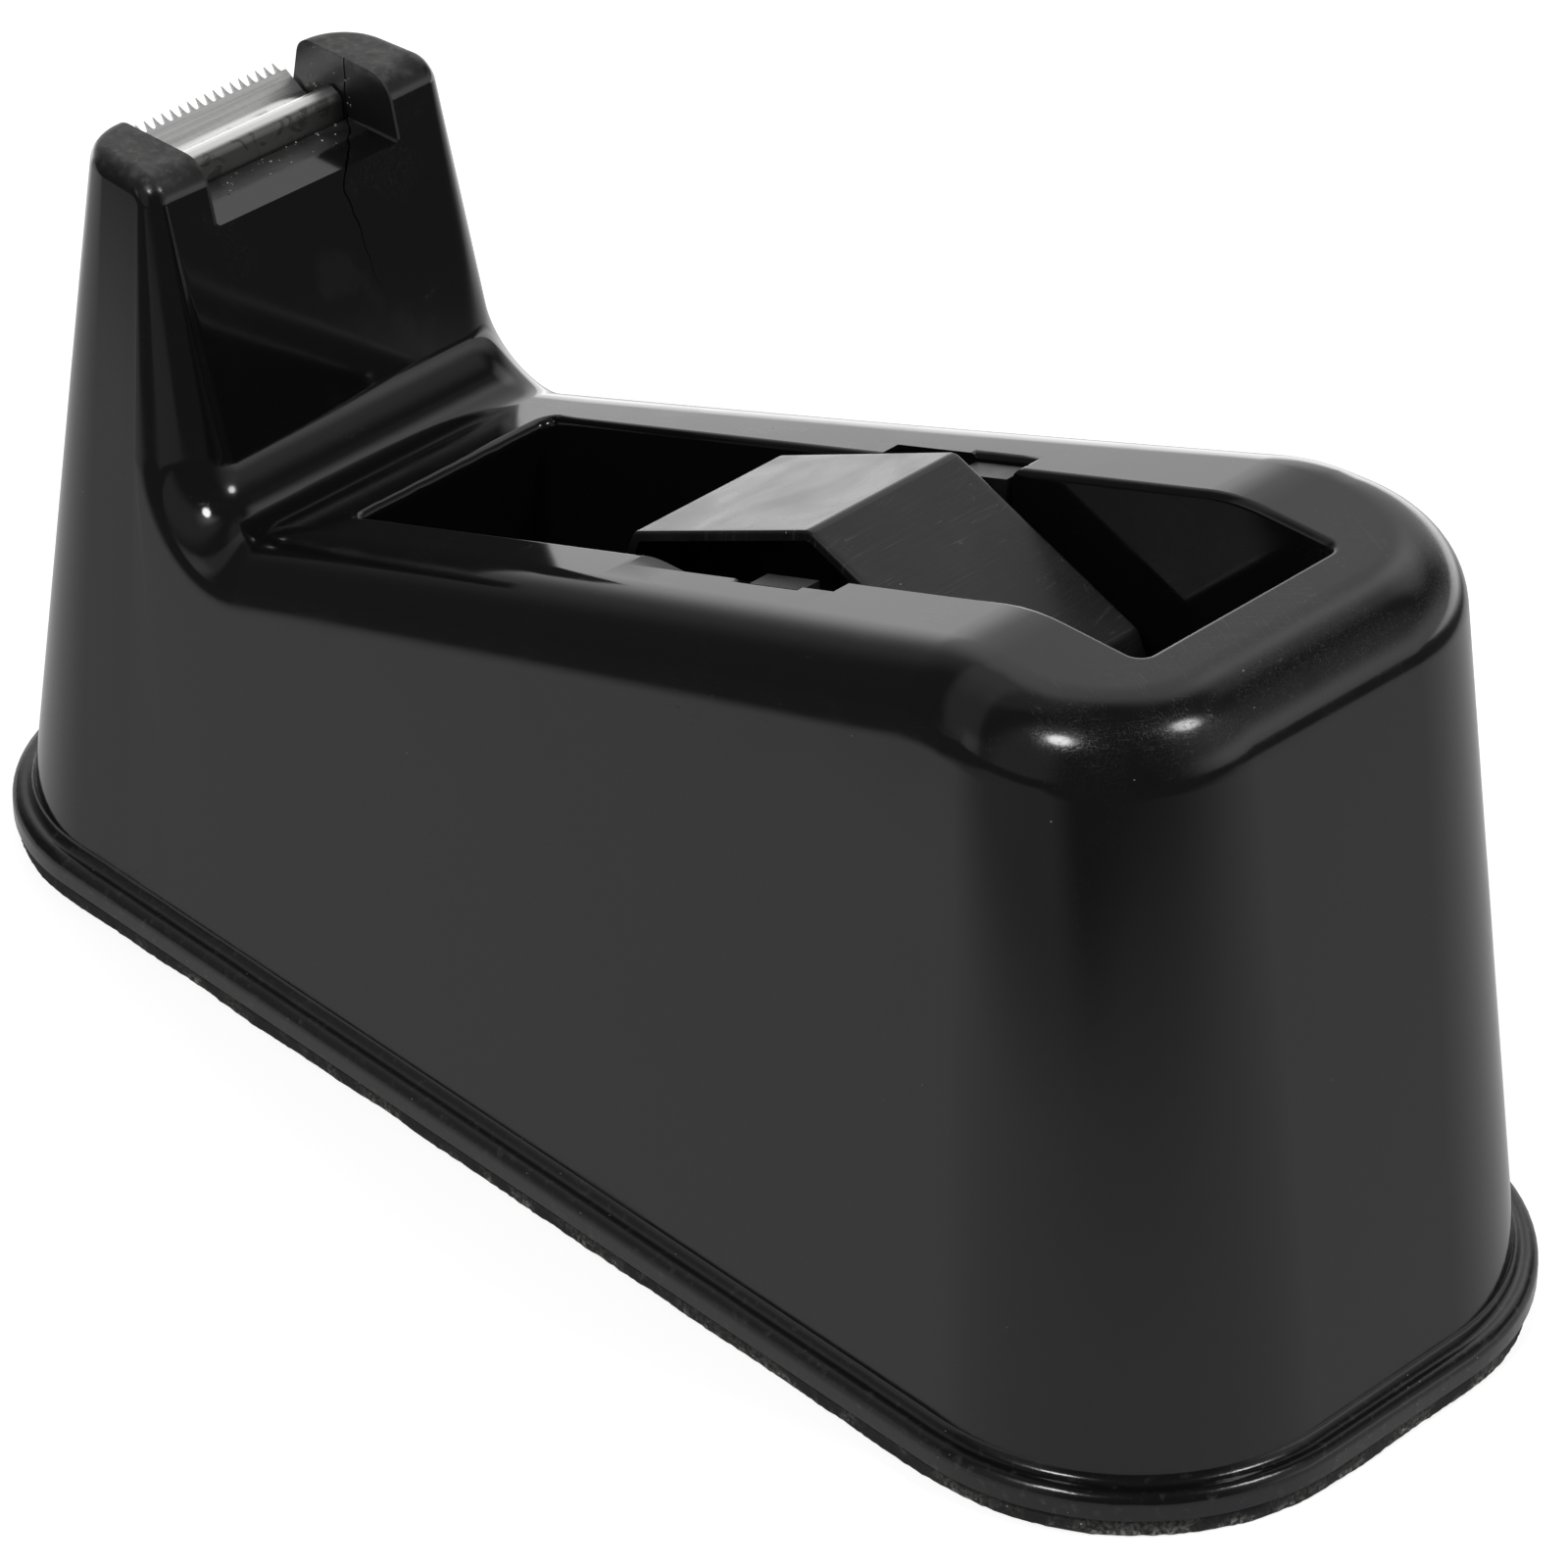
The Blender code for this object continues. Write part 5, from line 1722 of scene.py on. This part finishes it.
@dataclass
class BaseScrew:
    """Countersunk self-tapping screw with a cross recess and a rolled thread."""

    low_z: float
    head: float = 3.0 * MM
    shank: float = 1.4 * MM
    crest: float = 1.6 * MM
    sink: float = 0.15 * MM
    length: float = 11.0 * MM
    pitch: float = 1.1 * MM
    plain: float = 0.5 * MM
    point: float = 1.3 * MM
    cross: Outline = ((1.0, -0.22), (1.0, 0.22), (0.34, 0.34))

    def build(self) -> Piece:
        """Turn the screw at the origin's axis, head down.

        Returns:
            The screw, ready to be copied to its posts.
        """
        neck = self.sink + self.head - self.shank
        profile = [(0.0, self.sink), (self.head - 0.15 * MM, self.sink), (self.head, self.sink + 0.12 * MM),
                   (self.shank, neck), (self.shank, neck + self.plain)]
        z = neck + self.plain
        while z + self.pitch < self.length - 1.4 * MM:
            profile += [(self.shank, z + 0.4 * self.pitch), (self.crest, z + 0.65 * self.pitch),
                        (self.shank, z + 0.9 * self.pitch)]
            z += self.pitch
        profile += [(self.shank, self.length - self.point), (0.3 * MM, self.length - 0.1 * MM),
                    (0.0, self.length)]
        screw = Bench.turned("screw", profile, Matrix.Translation((0.0, 0.0, self.low_z)), 40)
        Bench.cut(screw, [self.recess()])
        return Bench.polish(screw)

    def recess(self) -> Piece:
        """Cutter of the tapered cross recess.

        Returns:
            The cutter.
        """
        low, high = self.low_z - 0.1 * MM, self.low_z + 1.5 * MM
        cross = []
        for quarter in range(4):
            turn = Matrix.Rotation(math.radians(90 * quarter), 2)
            cross += [turn @ Vector(corner) for corner in self.cross]
        loops = []
        for z, size in ((low, 1.75 * MM), (high, 0.7 * MM)):
            loops.append([Vector((p.x * size, p.y * size, z)) for p in cross])
        return Bench.skinned("tool_recess", loops)


# ---------------- blade
@dataclass
class CutterStrip:
    """Pressed steel strip: toothed lip, trough, round hump and a leg into the housing."""

    half: float = 13.1 * MM
    sheet: float = 0.5 * MM
    path: Outline = ((-82.2 * MM, 86.2 * MM), (-78.4 * MM, 83.9 * MM), (-75.0 * MM, 87.1 * MM),
                     (-73.0 * MM, 86.2 * MM), (-72.5 * MM, 80.4 * MM))
    bends: Sequence[float] = (2.0 * MM, 1.0 * MM, 1.0 * MM)
    bend_steps: int = 12
    smooth: float = 34.0
    tip_half: float = 0.04 * MM
    corner: float = 0.12 * MM
    teeth: int = 20
    pitch: float = 1.27 * MM
    tooth: float = 1.3 * MM
    tooth_half: float = 0.34 * MM

    def build(self) -> Piece:
        """Skin the strip across its width, tooth by tooth.

        Returns:
            The strip.
        """
        top = rounded_path(self.path, self.bends, self.bend_steps)
        lip = (Vector(self.path[0]) - Vector(self.path[1])).normalized()
        bm = bmesh.new()
        rows = []
        for y, reach, thin in self.stops():
            over, under = [], []
            for index, (point, normal) in enumerate(top):
                shift = lip * self.tooth * reach if index == 0 else Vector((0.0, 0.0))
                sheet = self.sheet * (thin if index == 0 else 1.0)
                over.append(bm.verts.new((point.x + shift.x, y, point.y + shift.y)))
                low = point + shift - normal * sheet
                under.append(bm.verts.new((low.x, y, low.y)))
            rows.append(over + under[::-1])
        for first, last in zip(rows, rows[1:]):
            Bench.bridge(bm, first, last)
        bm.faces.new(rows[0])
        bm.faces.new(rows[-1])
        return Bench.polish(Bench.make("blade_strip", bm, self.smooth), self.smooth)

    def stops(self) -> list[tuple[float, float, float]]:
        """Places across the strip with the reach and thinning of its lip there.

        Returns:
            (y, share of the tooth height, share of the sheet left at the edge) for each stop.
        """
        first = -0.5 * self.teeth * self.pitch
        stops = [(-self.half, 0.0, 0.8), (-self.half + self.corner, 0.0, 1.0)]
        for number in range(self.teeth):
            middle = first + (number + 0.5) * self.pitch
            stops += [(middle - self.tooth_half, 0.0, 1.0), (middle - 0.5 * self.tooth_half, 0.34, 0.8),
                      (middle - self.tip_half, 1.0, 0.2), (middle + self.tip_half, 1.0, 0.2),
                      (middle + 0.5 * self.tooth_half, 0.34, 0.8), (middle + self.tooth_half, 0.0, 1.0)]
        stops += [(self.half - self.corner, 0.0, 1.0), (self.half, 0.0, 0.8)]
        return stops


# ---------------- drum and its carrier
@dataclass
class CoreDrum:
    """Octagonal drum: thin shell with rounded corners, web, ribs and a bored boss."""

    spin: Vector
    turn: float = math.radians(-1.3)
    sides: int = 8
    radius: float = 36.6 * MM
    corner: float = 1.6 * MM
    half: float = 11.0 * MM
    shell: float = 1.2 * MM
    end_round: float = 0.35 * MM
    lip: float = 6.6 * MM
    web_half: float = 0.8 * MM
    rib_half: float = 0.7 * MM
    boss: float = 7.2 * MM
    boss_step: float = 0.6 * MM
    boss_reach: float = 20.0 * MM
    bush: float = 4.4 * MM
    bush_length: float = 7.0 * MM
    bore: float = 3.3 * MM
    play: float = 0.1 * MM
    inner_corner: float = 0.9 * MM
    run_out: float = 1.0 * MM
    arc_steps: int = 8
    smooth: float = 22.0

    def build(self) -> Piece:
        """Skin the shell, sink its ends and bore it, then set it on its axis.

        Returns:
            The drum.
        """
        drum = Bench.skinned("drum_moulding", self.outer_loops())
        Bench.cut(drum, [self.end_tool(), self.hollow_tool(), self.bore_tool()])
        Bench.polish(drum, self.smooth)
        drum.location = self.spin
        drum.rotation_euler = (0.0, self.turn, 0.0)
        bpy.context.view_layer.update()
        return drum

    def inner(self) -> float:
        """Corner radius of the shell's inside."""
        return self.radius - self.shell / math.cos(math.pi / self.sides)

    def octagon(self, radius: float, corner: float, inset: float = 0.0) -> list[Point2]:
        """Octagon with rounded corners, moved inward by an inset.

        Args:
            radius: To the sharp corners.
            corner: Radius of the corners.
            inset: How far it moves in.

        Returns:
            Closed outline.
        """
        half = math.pi * (self.sides - 2) / self.sides / 2
        outline = []
        for i in range(self.sides):
            facing = 2 * math.pi * i / self.sides
            reach = radius - corner / math.sin(half)
            for k in range(self.arc_steps + 1):
                angle = facing + (2 * math.pi / self.sides) * (k / self.arc_steps - 0.5)
                outline.append((reach * math.sin(facing) + (corner - inset) * math.sin(angle),
                                reach * math.cos(facing) + (corner - inset) * math.cos(angle)))
        return outline

    def outer_loops(self) -> list[list[Vector]]:
        """Rings of the shell from end to end, with rounded end edges.

        Returns:
            Closed loops, near to far.
        """
        stops = [(self.half - back, inset) for back, inset in quarter_round(self.end_round, 4)]
        ends = [(-y, inset) for y, inset in reversed(stops)]
        whole = [(-self.half + self.run_out, 0.0), (self.half - self.run_out, 0.0)]
        return [[Vector((u, y, v)) for u, v in self.octagon(self.radius, self.corner, inset)]
                for y, inset in ends + whole + stops]

    def end_tool(self) -> Piece:
        """Cutter that sinks both ends inside the shell, sparing the boss.

        Returns:
            The cutter.
        """
        bm = bmesh.new()
        outline = self.octagon(self.inner() + self.play, self.inner_corner)
        for side in Side:
            Bench.prism(bm, outline, across, *side.span(self.half - self.lip, self.half + self.run_out))
        tool = Bench.make("tool_ends", bm)
        spared = circle(0.0, 0.0, self.boss - self.boss_step, 64)
        Bench.cut(tool, [Bench.block("keep_boss", spared, across, -self.boss_reach, self.boss_reach)])
        return tool

    def hollow_tool(self) -> Piece:
        """Cutter of the hollows between the ribs, eight on each side of the web.

        Returns:
            The cutter.
        """
        bm = bmesh.new()
        for side in Side:
            span = side.span(self.web_half, self.half - self.lip + self.play)
            for number in range(self.sides):
                Bench.prism(bm, self.sector(number), across, *span)
        return Bench.make("tool_hollows", bm)

    def sector(self, number: int) -> list[Point2]:
        """Outline of one hollow between two ribs.

        Args:
            number: Which of the hollows.

        Returns:
            Closed outline.
        """
        step = 2 * math.pi / self.sides
        start, end = number * step, (number + 1) * step
        rim = self.inner() - self.rib_half * math.tan(math.pi / self.sides)
        points = []
        for angle, side in ((start, 1), (end, -1)):
            radial = Vector((math.sin(angle), math.cos(angle)))
            square = Vector((math.cos(angle), -math.sin(angle))) * side
            points.append(radial * rim + square * self.rib_half)
        slip = math.asin(self.rib_half / self.boss)
        for k in range(self.arc_steps + 1):
            angle = end - slip - (step - 2 * slip) * k / self.arc_steps
            points.append(Vector((math.sin(angle), math.cos(angle))) * self.boss)
        return [tuple(p) for p in points]

    def bore_tool(self) -> Piece:
        """Cutter of the through bore and both bush seats.

        Returns:
            The cutter.
        """
        seat = self.bush + self.play
        low = self.half - self.bush_length
        end = self.half + self.run_out
        profile = ((0.0, -end), (seat, -end), (seat, -low), (self.bore, -low), (self.bore, low), (seat, low),
                   (seat, end), (0.0, end))
        return Bench.turned("tool_bore", profile, Matrix.Rotation(math.radians(90), 4, 'X'))


@dataclass
class Carrier:
    """Axle, thrust washers, bushes and the two tongues that slide in the well's grooves."""

    spin: Vector
    housing: Housing
    drum: CoreDrum
    axle_radius: float = 3.0 * MM
    running: float = 0.06 * MM
    gap: float = 0.3 * MM
    bush_flange: float = 6.2 * MM
    bush_flange_height: float = 0.8 * MM
    washer: float = 5.4 * MM
    washer_height: float = 0.8 * MM
    tongue_inner: float = 13.9 * MM
    tongue_sink: float = 0.9 * MM
    spigot: float = 2.2 * MM
    spigot_end: float = 16.4 * MM
    spigot_ease: float = 0.4 * MM
    centre_mark: Point2 = (0.45 * MM, 0.35 * MM)
    play: float = 0.1 * MM
    ease: float = 0.15 * MM
    tongue_ease: float = 0.3 * MM
    tongue_steps: int = 24

    def along_axis(self, side: Side) -> Matrix:
        """Frame on the drum's axis whose Z runs out to one side."""
        return Matrix.Translation(self.spin) @ Matrix.Rotation(math.radians(-90 * side.value), 4, 'X')

    def turned_piece(self, name: str, profile: Outline, side: Side) -> Piece:
        """Piece turned on the drum's axis; the profile's heights run to one side."""
        return Bench.polish(Bench.turned(name, profile, self.along_axis(side)))

    def bush(self, side: Side) -> Piece:
        """Flanged bearing bush of one end of the drum.

        Args:
            side: Side of the drum that it is on.

        Returns:
            The bush.
        """
        drum, ease = self.drum, self.ease
        bore = self.axle_radius + self.running
        foot = drum.half - drum.bush_length + self.gap
        seat = drum.half + self.gap
        top = seat + self.bush_flange_height
        profile = ((bore, foot), (drum.bush - ease, foot), (drum.bush, foot + ease), (drum.bush, seat),
                   (self.bush_flange - ease, seat), (self.bush_flange, seat + ease),
                   (self.bush_flange, top - ease), (self.bush_flange - ease, top), (bore + ease, top),
                   (bore, top - ease))
        return self.turned_piece(f"bush_sleeve_{side.word}", profile, side)

    def thrust_washer(self, side: Side) -> Piece:
        """Washer between a bush and its tongue.

        Args:
            side: Side of the drum that it is on.

        Returns:
            The washer.
        """
        low = self.drum.half + 2 * self.gap + self.bush_flange_height
        high = low + self.washer_height
        bore, rim, ease = self.axle_radius + self.play, self.washer, self.ease
        profile = ((bore, low), (rim - ease, low), (rim, low + ease), (rim, high - ease), (rim - ease, high),
                   (bore + ease, high), (bore, high - ease))
        return self.turned_piece(f"thrust_washer_{side.word}", profile, side)

    def axle(self) -> Piece:
        """Steel pin with a reduced spigot and a centre mark at each end.

        Returns:
            The axle.
        """
        shoulder = self.tongue_inner - self.gap
        end, ease = self.spigot_end, self.spigot_ease
        mark, deep = self.centre_mark
        half = [(0.0, end - deep), (mark, end), (self.spigot - ease, end), (self.spigot, end - ease),
                (self.spigot, shoulder), (self.axle_radius - self.ease, shoulder),
                (self.axle_radius, shoulder - self.ease)]
        profile = half + [(r, -h) for r, h in reversed(half)]
        return self.turned_piece("axle_pin", profile, Side.FAR)

    def tongue(self, side: Side) -> Piece:
        """Slide plate on one end of the axle: round foot, top cut to the deck's slope.

        Args:
            side: Side of the drum that it is on.

        Returns:
            The tongue.
        """
        groove = self.housing.groove
        half = groove.half - self.gap
        foot_z = groove.floor_z + self.gap
        outline = []
        for k in range(self.tongue_steps + 1):
            angle = math.pi * (1 + k / self.tongue_steps)
            outline.append((groove.centre_x + half * math.cos(angle),
                            foot_z + half * (1 + math.sin(angle))))
        for x in (half, -half):
            outline.append((groove.centre_x + x, self.housing.deck(groove.centre_x + x) - self.tongue_sink))
        outer = self.housing.well_half + groove.depth - self.gap
        bm = bmesh.new()
        Bench.prism(bm, outline, across, *side.span(self.tongue_inner, outer))
        sharp = [edge for edge in bm.edges if edge.calc_face_angle(0.0) > SHARP]
        bmesh.ops.bevel(bm, geom=sharp, offset=self.tongue_ease, segments=3, affect='EDGES', profile=0.5)
        plate = Bench.make(f"tongue_plate_{side.word}", bm)
        socket = circle(self.spin.x, self.spin.z, self.spigot + self.play, 64)
        ends = side.span(self.tongue_inner - MM, self.spigot_end + self.gap)
        Bench.cut(plate, [Bench.block("tool_socket", socket, across, *ends)])
        return Bench.polish(plate)


# ---------------- studio
def heading(azimuth: float, elevation: float) -> Vector:
    """Unit vector towards a place in the studio; azimuth 0 is towards -Y and 90 towards +X."""
    a, e = math.radians(azimuth), math.radians(elevation)
    return Vector((math.sin(a) * math.cos(e), -math.cos(a) * math.cos(e), math.sin(e)))


@dataclass(frozen=True)
class SoftLamp:
    """Round soft lamp at some height round the dispenser."""

    name: str
    azimuth: float
    elevation: float
    radiance: float
    radius: float = 0.115
    distance: float = 1.2

    def hang(self, aim: Vector) -> None:
        """Make the lamp and point it.

        Args:
            aim: Point that the lamp faces.
        """
        light = bpy.data.lights.new(self.name, 'AREA')
        light.shape = 'DISK'
        light.size = 2 * self.radius
        light.energy = self.radiance * math.pi * math.pi * self.radius ** 2
        lamp = bpy.data.objects.new(self.name, light)
        bpy.context.scene.collection.objects.link(lamp)
        out = heading(self.azimuth, self.elevation)
        lamp.location = aim + out * self.distance
        lamp.rotation_euler = out.to_track_quat('Z', 'Y').to_euler()


@dataclass(frozen=True)
class Camera:
    """Long lens looking down on the near rear corner."""

    azimuth: float = 44.798
    elevation: float = 32.927
    distance: float = 0.7972
    lens: float = 171.38
    sensor: float = 36.0
    shift: Point2 = (0.0205, -0.06575)
    target: Point3 = (4.4 * MM, 0.0, 50.0 * MM)

    def set_up(self) -> None:
        """Make the camera and select it."""
        data = bpy.data.cameras.new("camera")
        data.sensor_width = self.sensor
        data.lens = self.lens
        data.clip_start = 0.01
        data.shift_x, data.shift_y = self.shift
        camera = bpy.data.objects.new("camera", data)
        bpy.context.scene.collection.objects.link(camera)
        back = heading(self.azimuth, self.elevation)
        right = Vector((0, 0, 1)).cross(back).normalized()
        axes = Matrix((right, back.cross(right), back)).transposed()
        place = Vector(self.target) + back * self.distance
        camera.matrix_world = Matrix.Translation(place) @ axes.to_4x4()
        bpy.context.scene.camera = camera


@dataclass(frozen=True)
class Glow:
    """Soft-edged bright field of the surroundings, in degrees.

    Bearings are level angles from the rear left, the way the camera looks; they grow through the
    left side and fall through the right. Each range is low, high, softness.
    """

    radiance: float
    bearing: Point3
    elevation: Point3


@dataclass
class Studio:
    """Pale floor in a white studio with soft lamps, and what its gloss-lit parts show in the plastic.

    In gloss the floor has a near pool, a band in front of the long side and a bright rear; ahead is
    the level distance towards the camera. Ranges are (none, full) or (low, high, softness).
    """

    floor_size: float = 8.0
    floor_sink: float = 0.02 * MM
    floor_grey: float = 0.72
    floor_lift: float = 0.76
    floor_shine: float = 0.09
    near_shine: float = 0.48
    near_y: tuple[Point2, Point2] = ((-0.19, -0.11), (0.27, 0.21))
    near_ahead: Point2 = (0.33, 0.10)
    band_shine: float = 0.22
    band_x: Point3 = (-0.085, 0.14, 0.03)
    band_y: Point3 = (-0.42, -0.15, 0.05)
    rear_shine: float = 2.1
    rear_ahead: Point2 = (-0.14, -0.34)
    rear_y: Point2 = (-0.03, 0.03)
    room: float = 0.08
    rear: float = -135.0
    aim: Point3 = (0.0, 0.0, 0.05)
    lamps: tuple[SoftLamp, ...] = (
        SoftLamp("lamp_left", 13.0, 52.0, 24.0),
        SoftLamp("lamp_right", 112.0, 55.0, 17.0),
    )
    glows: tuple[Glow, ...] = (
        Glow(0.75, (-38, 22, 14), (-90, 66, 8)),
        Glow(0.50, (-6, 26, 10), (-90, 17, 6)),
        Glow(0.70, (-58, -20, 9), (28, 50, 8)),
        Glow(0.22, (10, 44, 14), (-90, 76, 12)),
        Glow(0.16, (44, 80, 10), (46, 76, 9)),
        Glow(0.68, (-126, -62, 18), (-90, 17, 8)),
        Glow(0.46, (-130, -86, 20), (2, 46, 9)),
        Glow(0.20, (-75, -45, 8), (-90, 9, 5)),
        Glow(0.32, (94, 104, 5), (-90, 14, 6)),
        Glow(0.22, (112, 150, 9), (-90, 66, 12)),
        Glow(1.00, (132, 146, 8), (43, 64, 9)),
        Glow(0.60, (-132, -104, 12), (46, 60, 8)),
    )
    strip: float = 0.24
    strip_pole: Point2 = (-98.6, -13.2)
    strip_reach: Point3 = (0.315, 0.505, 0.035)
    strip_bearing: Point3 = (30.0, 120.0, 5.0)
    strip_elevation: Point2 = (-6.0, 4.0)

    def build(self) -> None:
        """Lay the floor, light the surroundings and hang the lamps."""
        scene = bpy.context.scene
        scene.view_settings.view_transform = 'Standard'
        self.lay_floor()
        scene.world = self.surroundings()
        for lamp in self.lamps:
            lamp.hang(Vector(self.aim))
        Camera().set_up()
        LOG.info("studio: floor, %d lamps, camera", len(self.lamps))

    def lay_floor(self) -> None:
        """Pale floor that looks white to the eye, with the soft shadow left in."""
        bm = bmesh.new()
        bmesh.ops.create_grid(bm, x_segments=8, y_segments=8, size=self.floor_size / 2)
        floor = Bench.make("studio_floor", bm)
        floor.location.z = -self.floor_sink
        g = Graph("studio_floor")
        material = g.finish((self.floor_grey,) * 3, 0.9)
        g.shader.inputs["Specular IOR Level"].default_value = 0.0
        g.shader.inputs["Emission Color"].default_value = (1.0, 1.0, 1.0, 1.0)
        g.feed(g.shader.inputs["Emission Strength"], g.both(g.rays("Camera"), self.floor_lift))
        ahead = g.toward((0.707, -0.707, 0.0))
        near = g.both(*(g.step(g.y, *edge) for edge in self.near_y), g.step(ahead, *self.near_ahead))
        band = g.both(g.inside(g.x, *self.band_x), g.inside(g.y, *self.band_y))
        rear = g.both(g.step(ahead, *self.rear_ahead), g.step(g.y, *self.rear_y))
        pools = ((near, self.near_shine), (band, self.band_shine), (rear, self.rear_shine))
        glow = g.node("Emission", {"Strength": g.sum(pools, self.floor_shine)})
        blend = g.node("MixShader", {0: g.rays("Glossy"), 1: g.shader.outputs[0], 2: glow.outputs[0]})
        g.feed(g.nodes["Material Output"].inputs["Surface"], blend.outputs[0])
        dress(floor, material)

    def surroundings(self) -> bpy.types.World:
        """White to the eye; to gloss and to the object, the glows, the strip and the dim room.

        Returns:
            The world.
        """
        g = Graph("studio_world", world=True)
        turn = g.plain("ARCTAN2", g.toward(heading(self.rear + 90.0, 0.0)),
                       g.toward(heading(self.rear, 0.0)))
        bearing = g.plain("MULTIPLY", turn, math.degrees(1.0))
        elevation = g.plain("MULTIPLY", g.plain("ARCSINE", g.z), math.degrees(1.0))
        parts = [(g.both(g.inside(bearing, *glow.bearing), g.inside(elevation, *glow.elevation)),
                  glow.radiance) for glow in self.glows]
        strip = g.both(g.inside(g.toward(heading(*self.strip_pole)), *self.strip_reach),
                       g.inside(bearing, *self.strip_bearing), g.step(elevation, *self.strip_elevation))
        light = g.sum(parts + [(strip, self.strip)], self.room)
        g.feed(g.shader.inputs["Strength"], g.mix(g.rays("Camera"), light, 1.0))
        g.shader.inputs["Color"].default_value = (1.0, 1.0, 1.0, 1.0)
        return g.owner


# ---------------- assembly
@dataclass
class Dispenser:
    """The whole dispenser: base body, carrier body and drum body."""

    layout: Layout
    form: DraftedForm = field(default_factory=DraftedForm)
    screw_turn: float = math.radians(23.0)
    zinc: Material = field(default_factory=lambda: ZincPlate().make())

    def build(self) -> None:
        """Build, dress and fit every piece, body by body."""
        housing = Housing(self.form, Groove(self.layout.spin.x), RimPocket(), Crack(), self.layout.posts)
        self.build_base(housing)
        self.build_drum(housing)

    def build_base(self, housing: Housing) -> None:
        """Housing, blade, pad, plate, screws, ballast and crumbs.

        Args:
            housing: The housing, not built yet.
        """
        shell = housing.build()
        gloss = MouldedGloss(housing.notch_z, housing.notch_half).make()
        fit(dress(shell, gloss), "base", "housing")
        pad = FootPad(self.form, self.layout.pad_top).build()
        fit(dress(pad, FoamRubber().make()), "base", "foot_pad")
        strip = CutterStrip().build()
        fit(dress(strip, StripSteel().make()), "base", "blade")
        redress("base_plate", self.zinc, "zinc_steel")
        self.drive_screws()
        iron = CastIron().make()
        for place in ("front", "near", "far", "rear"):
            redress("ballast_" + place, iron, "cast_ballast")
        crumbs = Crumbs("adhesive_crumbs", self.gum_patches(housing)).build()
        fit(dress(crumbs, DriedGum().make()), "base")

    def drive_screws(self) -> None:
        """Copy one screw to each post."""
        first = dress(BaseScrew(self.layout.plate_z).build(), self.zinc)
        for number, (x, y) in enumerate(self.layout.posts, start=1):
            screw = bpy.data.objects.new(f"self_tapping_screw_{number}", first.data)
            screw.location = (x, y, 0.0)
            screw.rotation_euler.z = number * self.screw_turn
            bpy.context.scene.collection.objects.link(screw)
            bpy.context.view_layer.update()
            fit(screw, "base", f"base_screw_{number}")
        bpy.data.objects.remove(first)

    def gum_patches(self, housing: Housing) -> list[Patch]:
        """Where dust and old adhesive gather: pocket edge, sill behind the strip, ear walls.

        Args:
            housing: The housing.

        Returns:
            The patches.
        """
        slope = housing.deck(1.0) - housing.deck(0.0)
        out = Vector((-slope, 0.0, 1.0)).normalized()
        inner = housing.well_half + 0.1 * MM
        floor_z = housing.deck(8.6 * MM) - housing.pocket.drop
        sill = Vector((-72.2 * MM, -12.6 * MM, housing.notch_z))
        ear = Vector((-80.6 * MM, housing.notch_half, 84.4 * MM))
        across_notch = Vector((0.0, 2 * housing.notch_half, 0.0))
        cheek = {"along": Vector((9.0 * MM, 0.0, 0.6 * MM)), "over": Vector((0.0, 0.0, 4.0 * MM))}
        return [
            Patch(start=Vector((9.0 * MM, -inner, floor_z)),
                  along=Vector((13.0 * MM, 0.0, 13.0 * MM * slope)),
                  over=Vector((0.0, -1.1 * MM, 0.0)), out=out, count=70, size=0.15 * MM),
            Patch(start=Vector((10.0 * MM, inner, floor_z)), along=Vector((9.0 * MM, 0.0, 9.0 * MM * slope)),
                  over=Vector((0.0, 2.4 * MM, 0.0)), out=out, count=14, size=0.13 * MM),
            Patch(start=sill, along=Vector((0.0, 25.0 * MM, 0.0)), over=Vector((3.6 * MM, 0.0, 0.0)),
                  out=Vector((0, 0, 1)), count=46, size=0.13 * MM),
            Patch(start=ear, **cheek, out=Vector((0, -1, 0)), count=30, size=0.14 * MM),
            Patch(start=ear - across_notch, **cheek, out=Vector((0, 1, 0)), count=16, size=0.12 * MM),
        ]

    def build_drum(self, housing: Housing) -> None:
        """Drum with its bushes, then the axle, washers and tongues that carry it.

        Args:
            housing: The housing.
        """
        drum = CoreDrum(self.layout.spin)
        fit(dress(drum.build(), DrumPlastic(half=drum.half).make()), "drum", "drum")
        carrier = Carrier(self.layout.spin, housing, drum)
        pale = SatinPlastic("bush_plastic", (0.55, 0.53, 0.48), (0.47, 0.45, 0.40), 0.42).make()
        slide = SatinPlastic("slide_plastic", (0.012, 0.012, 0.0125), (0.026, 0.026, 0.026), 0.32).make()
        fit(dress(carrier.axle(), self.zinc), "carrier", "axle")
        for side in Side:
            fit(dress(carrier.bush(side), pale), "drum", f"bush_{side.word}")
            washer = dress(carrier.thrust_washer(side), self.zinc)
            fit(washer, "carrier", f"washer_{side.word}")
            fit(dress(carrier.tongue(side), slide), "carrier", f"tongue_{side.word}")


def main() -> None:
    """Build the dispenser and its studio."""
    logging.basicConfig(level=logging.INFO, format="%(name)s: %(message)s")
    Dispenser(Layout.read()).build()
    Studio().build()


if __name__ == "__main__":
    main()
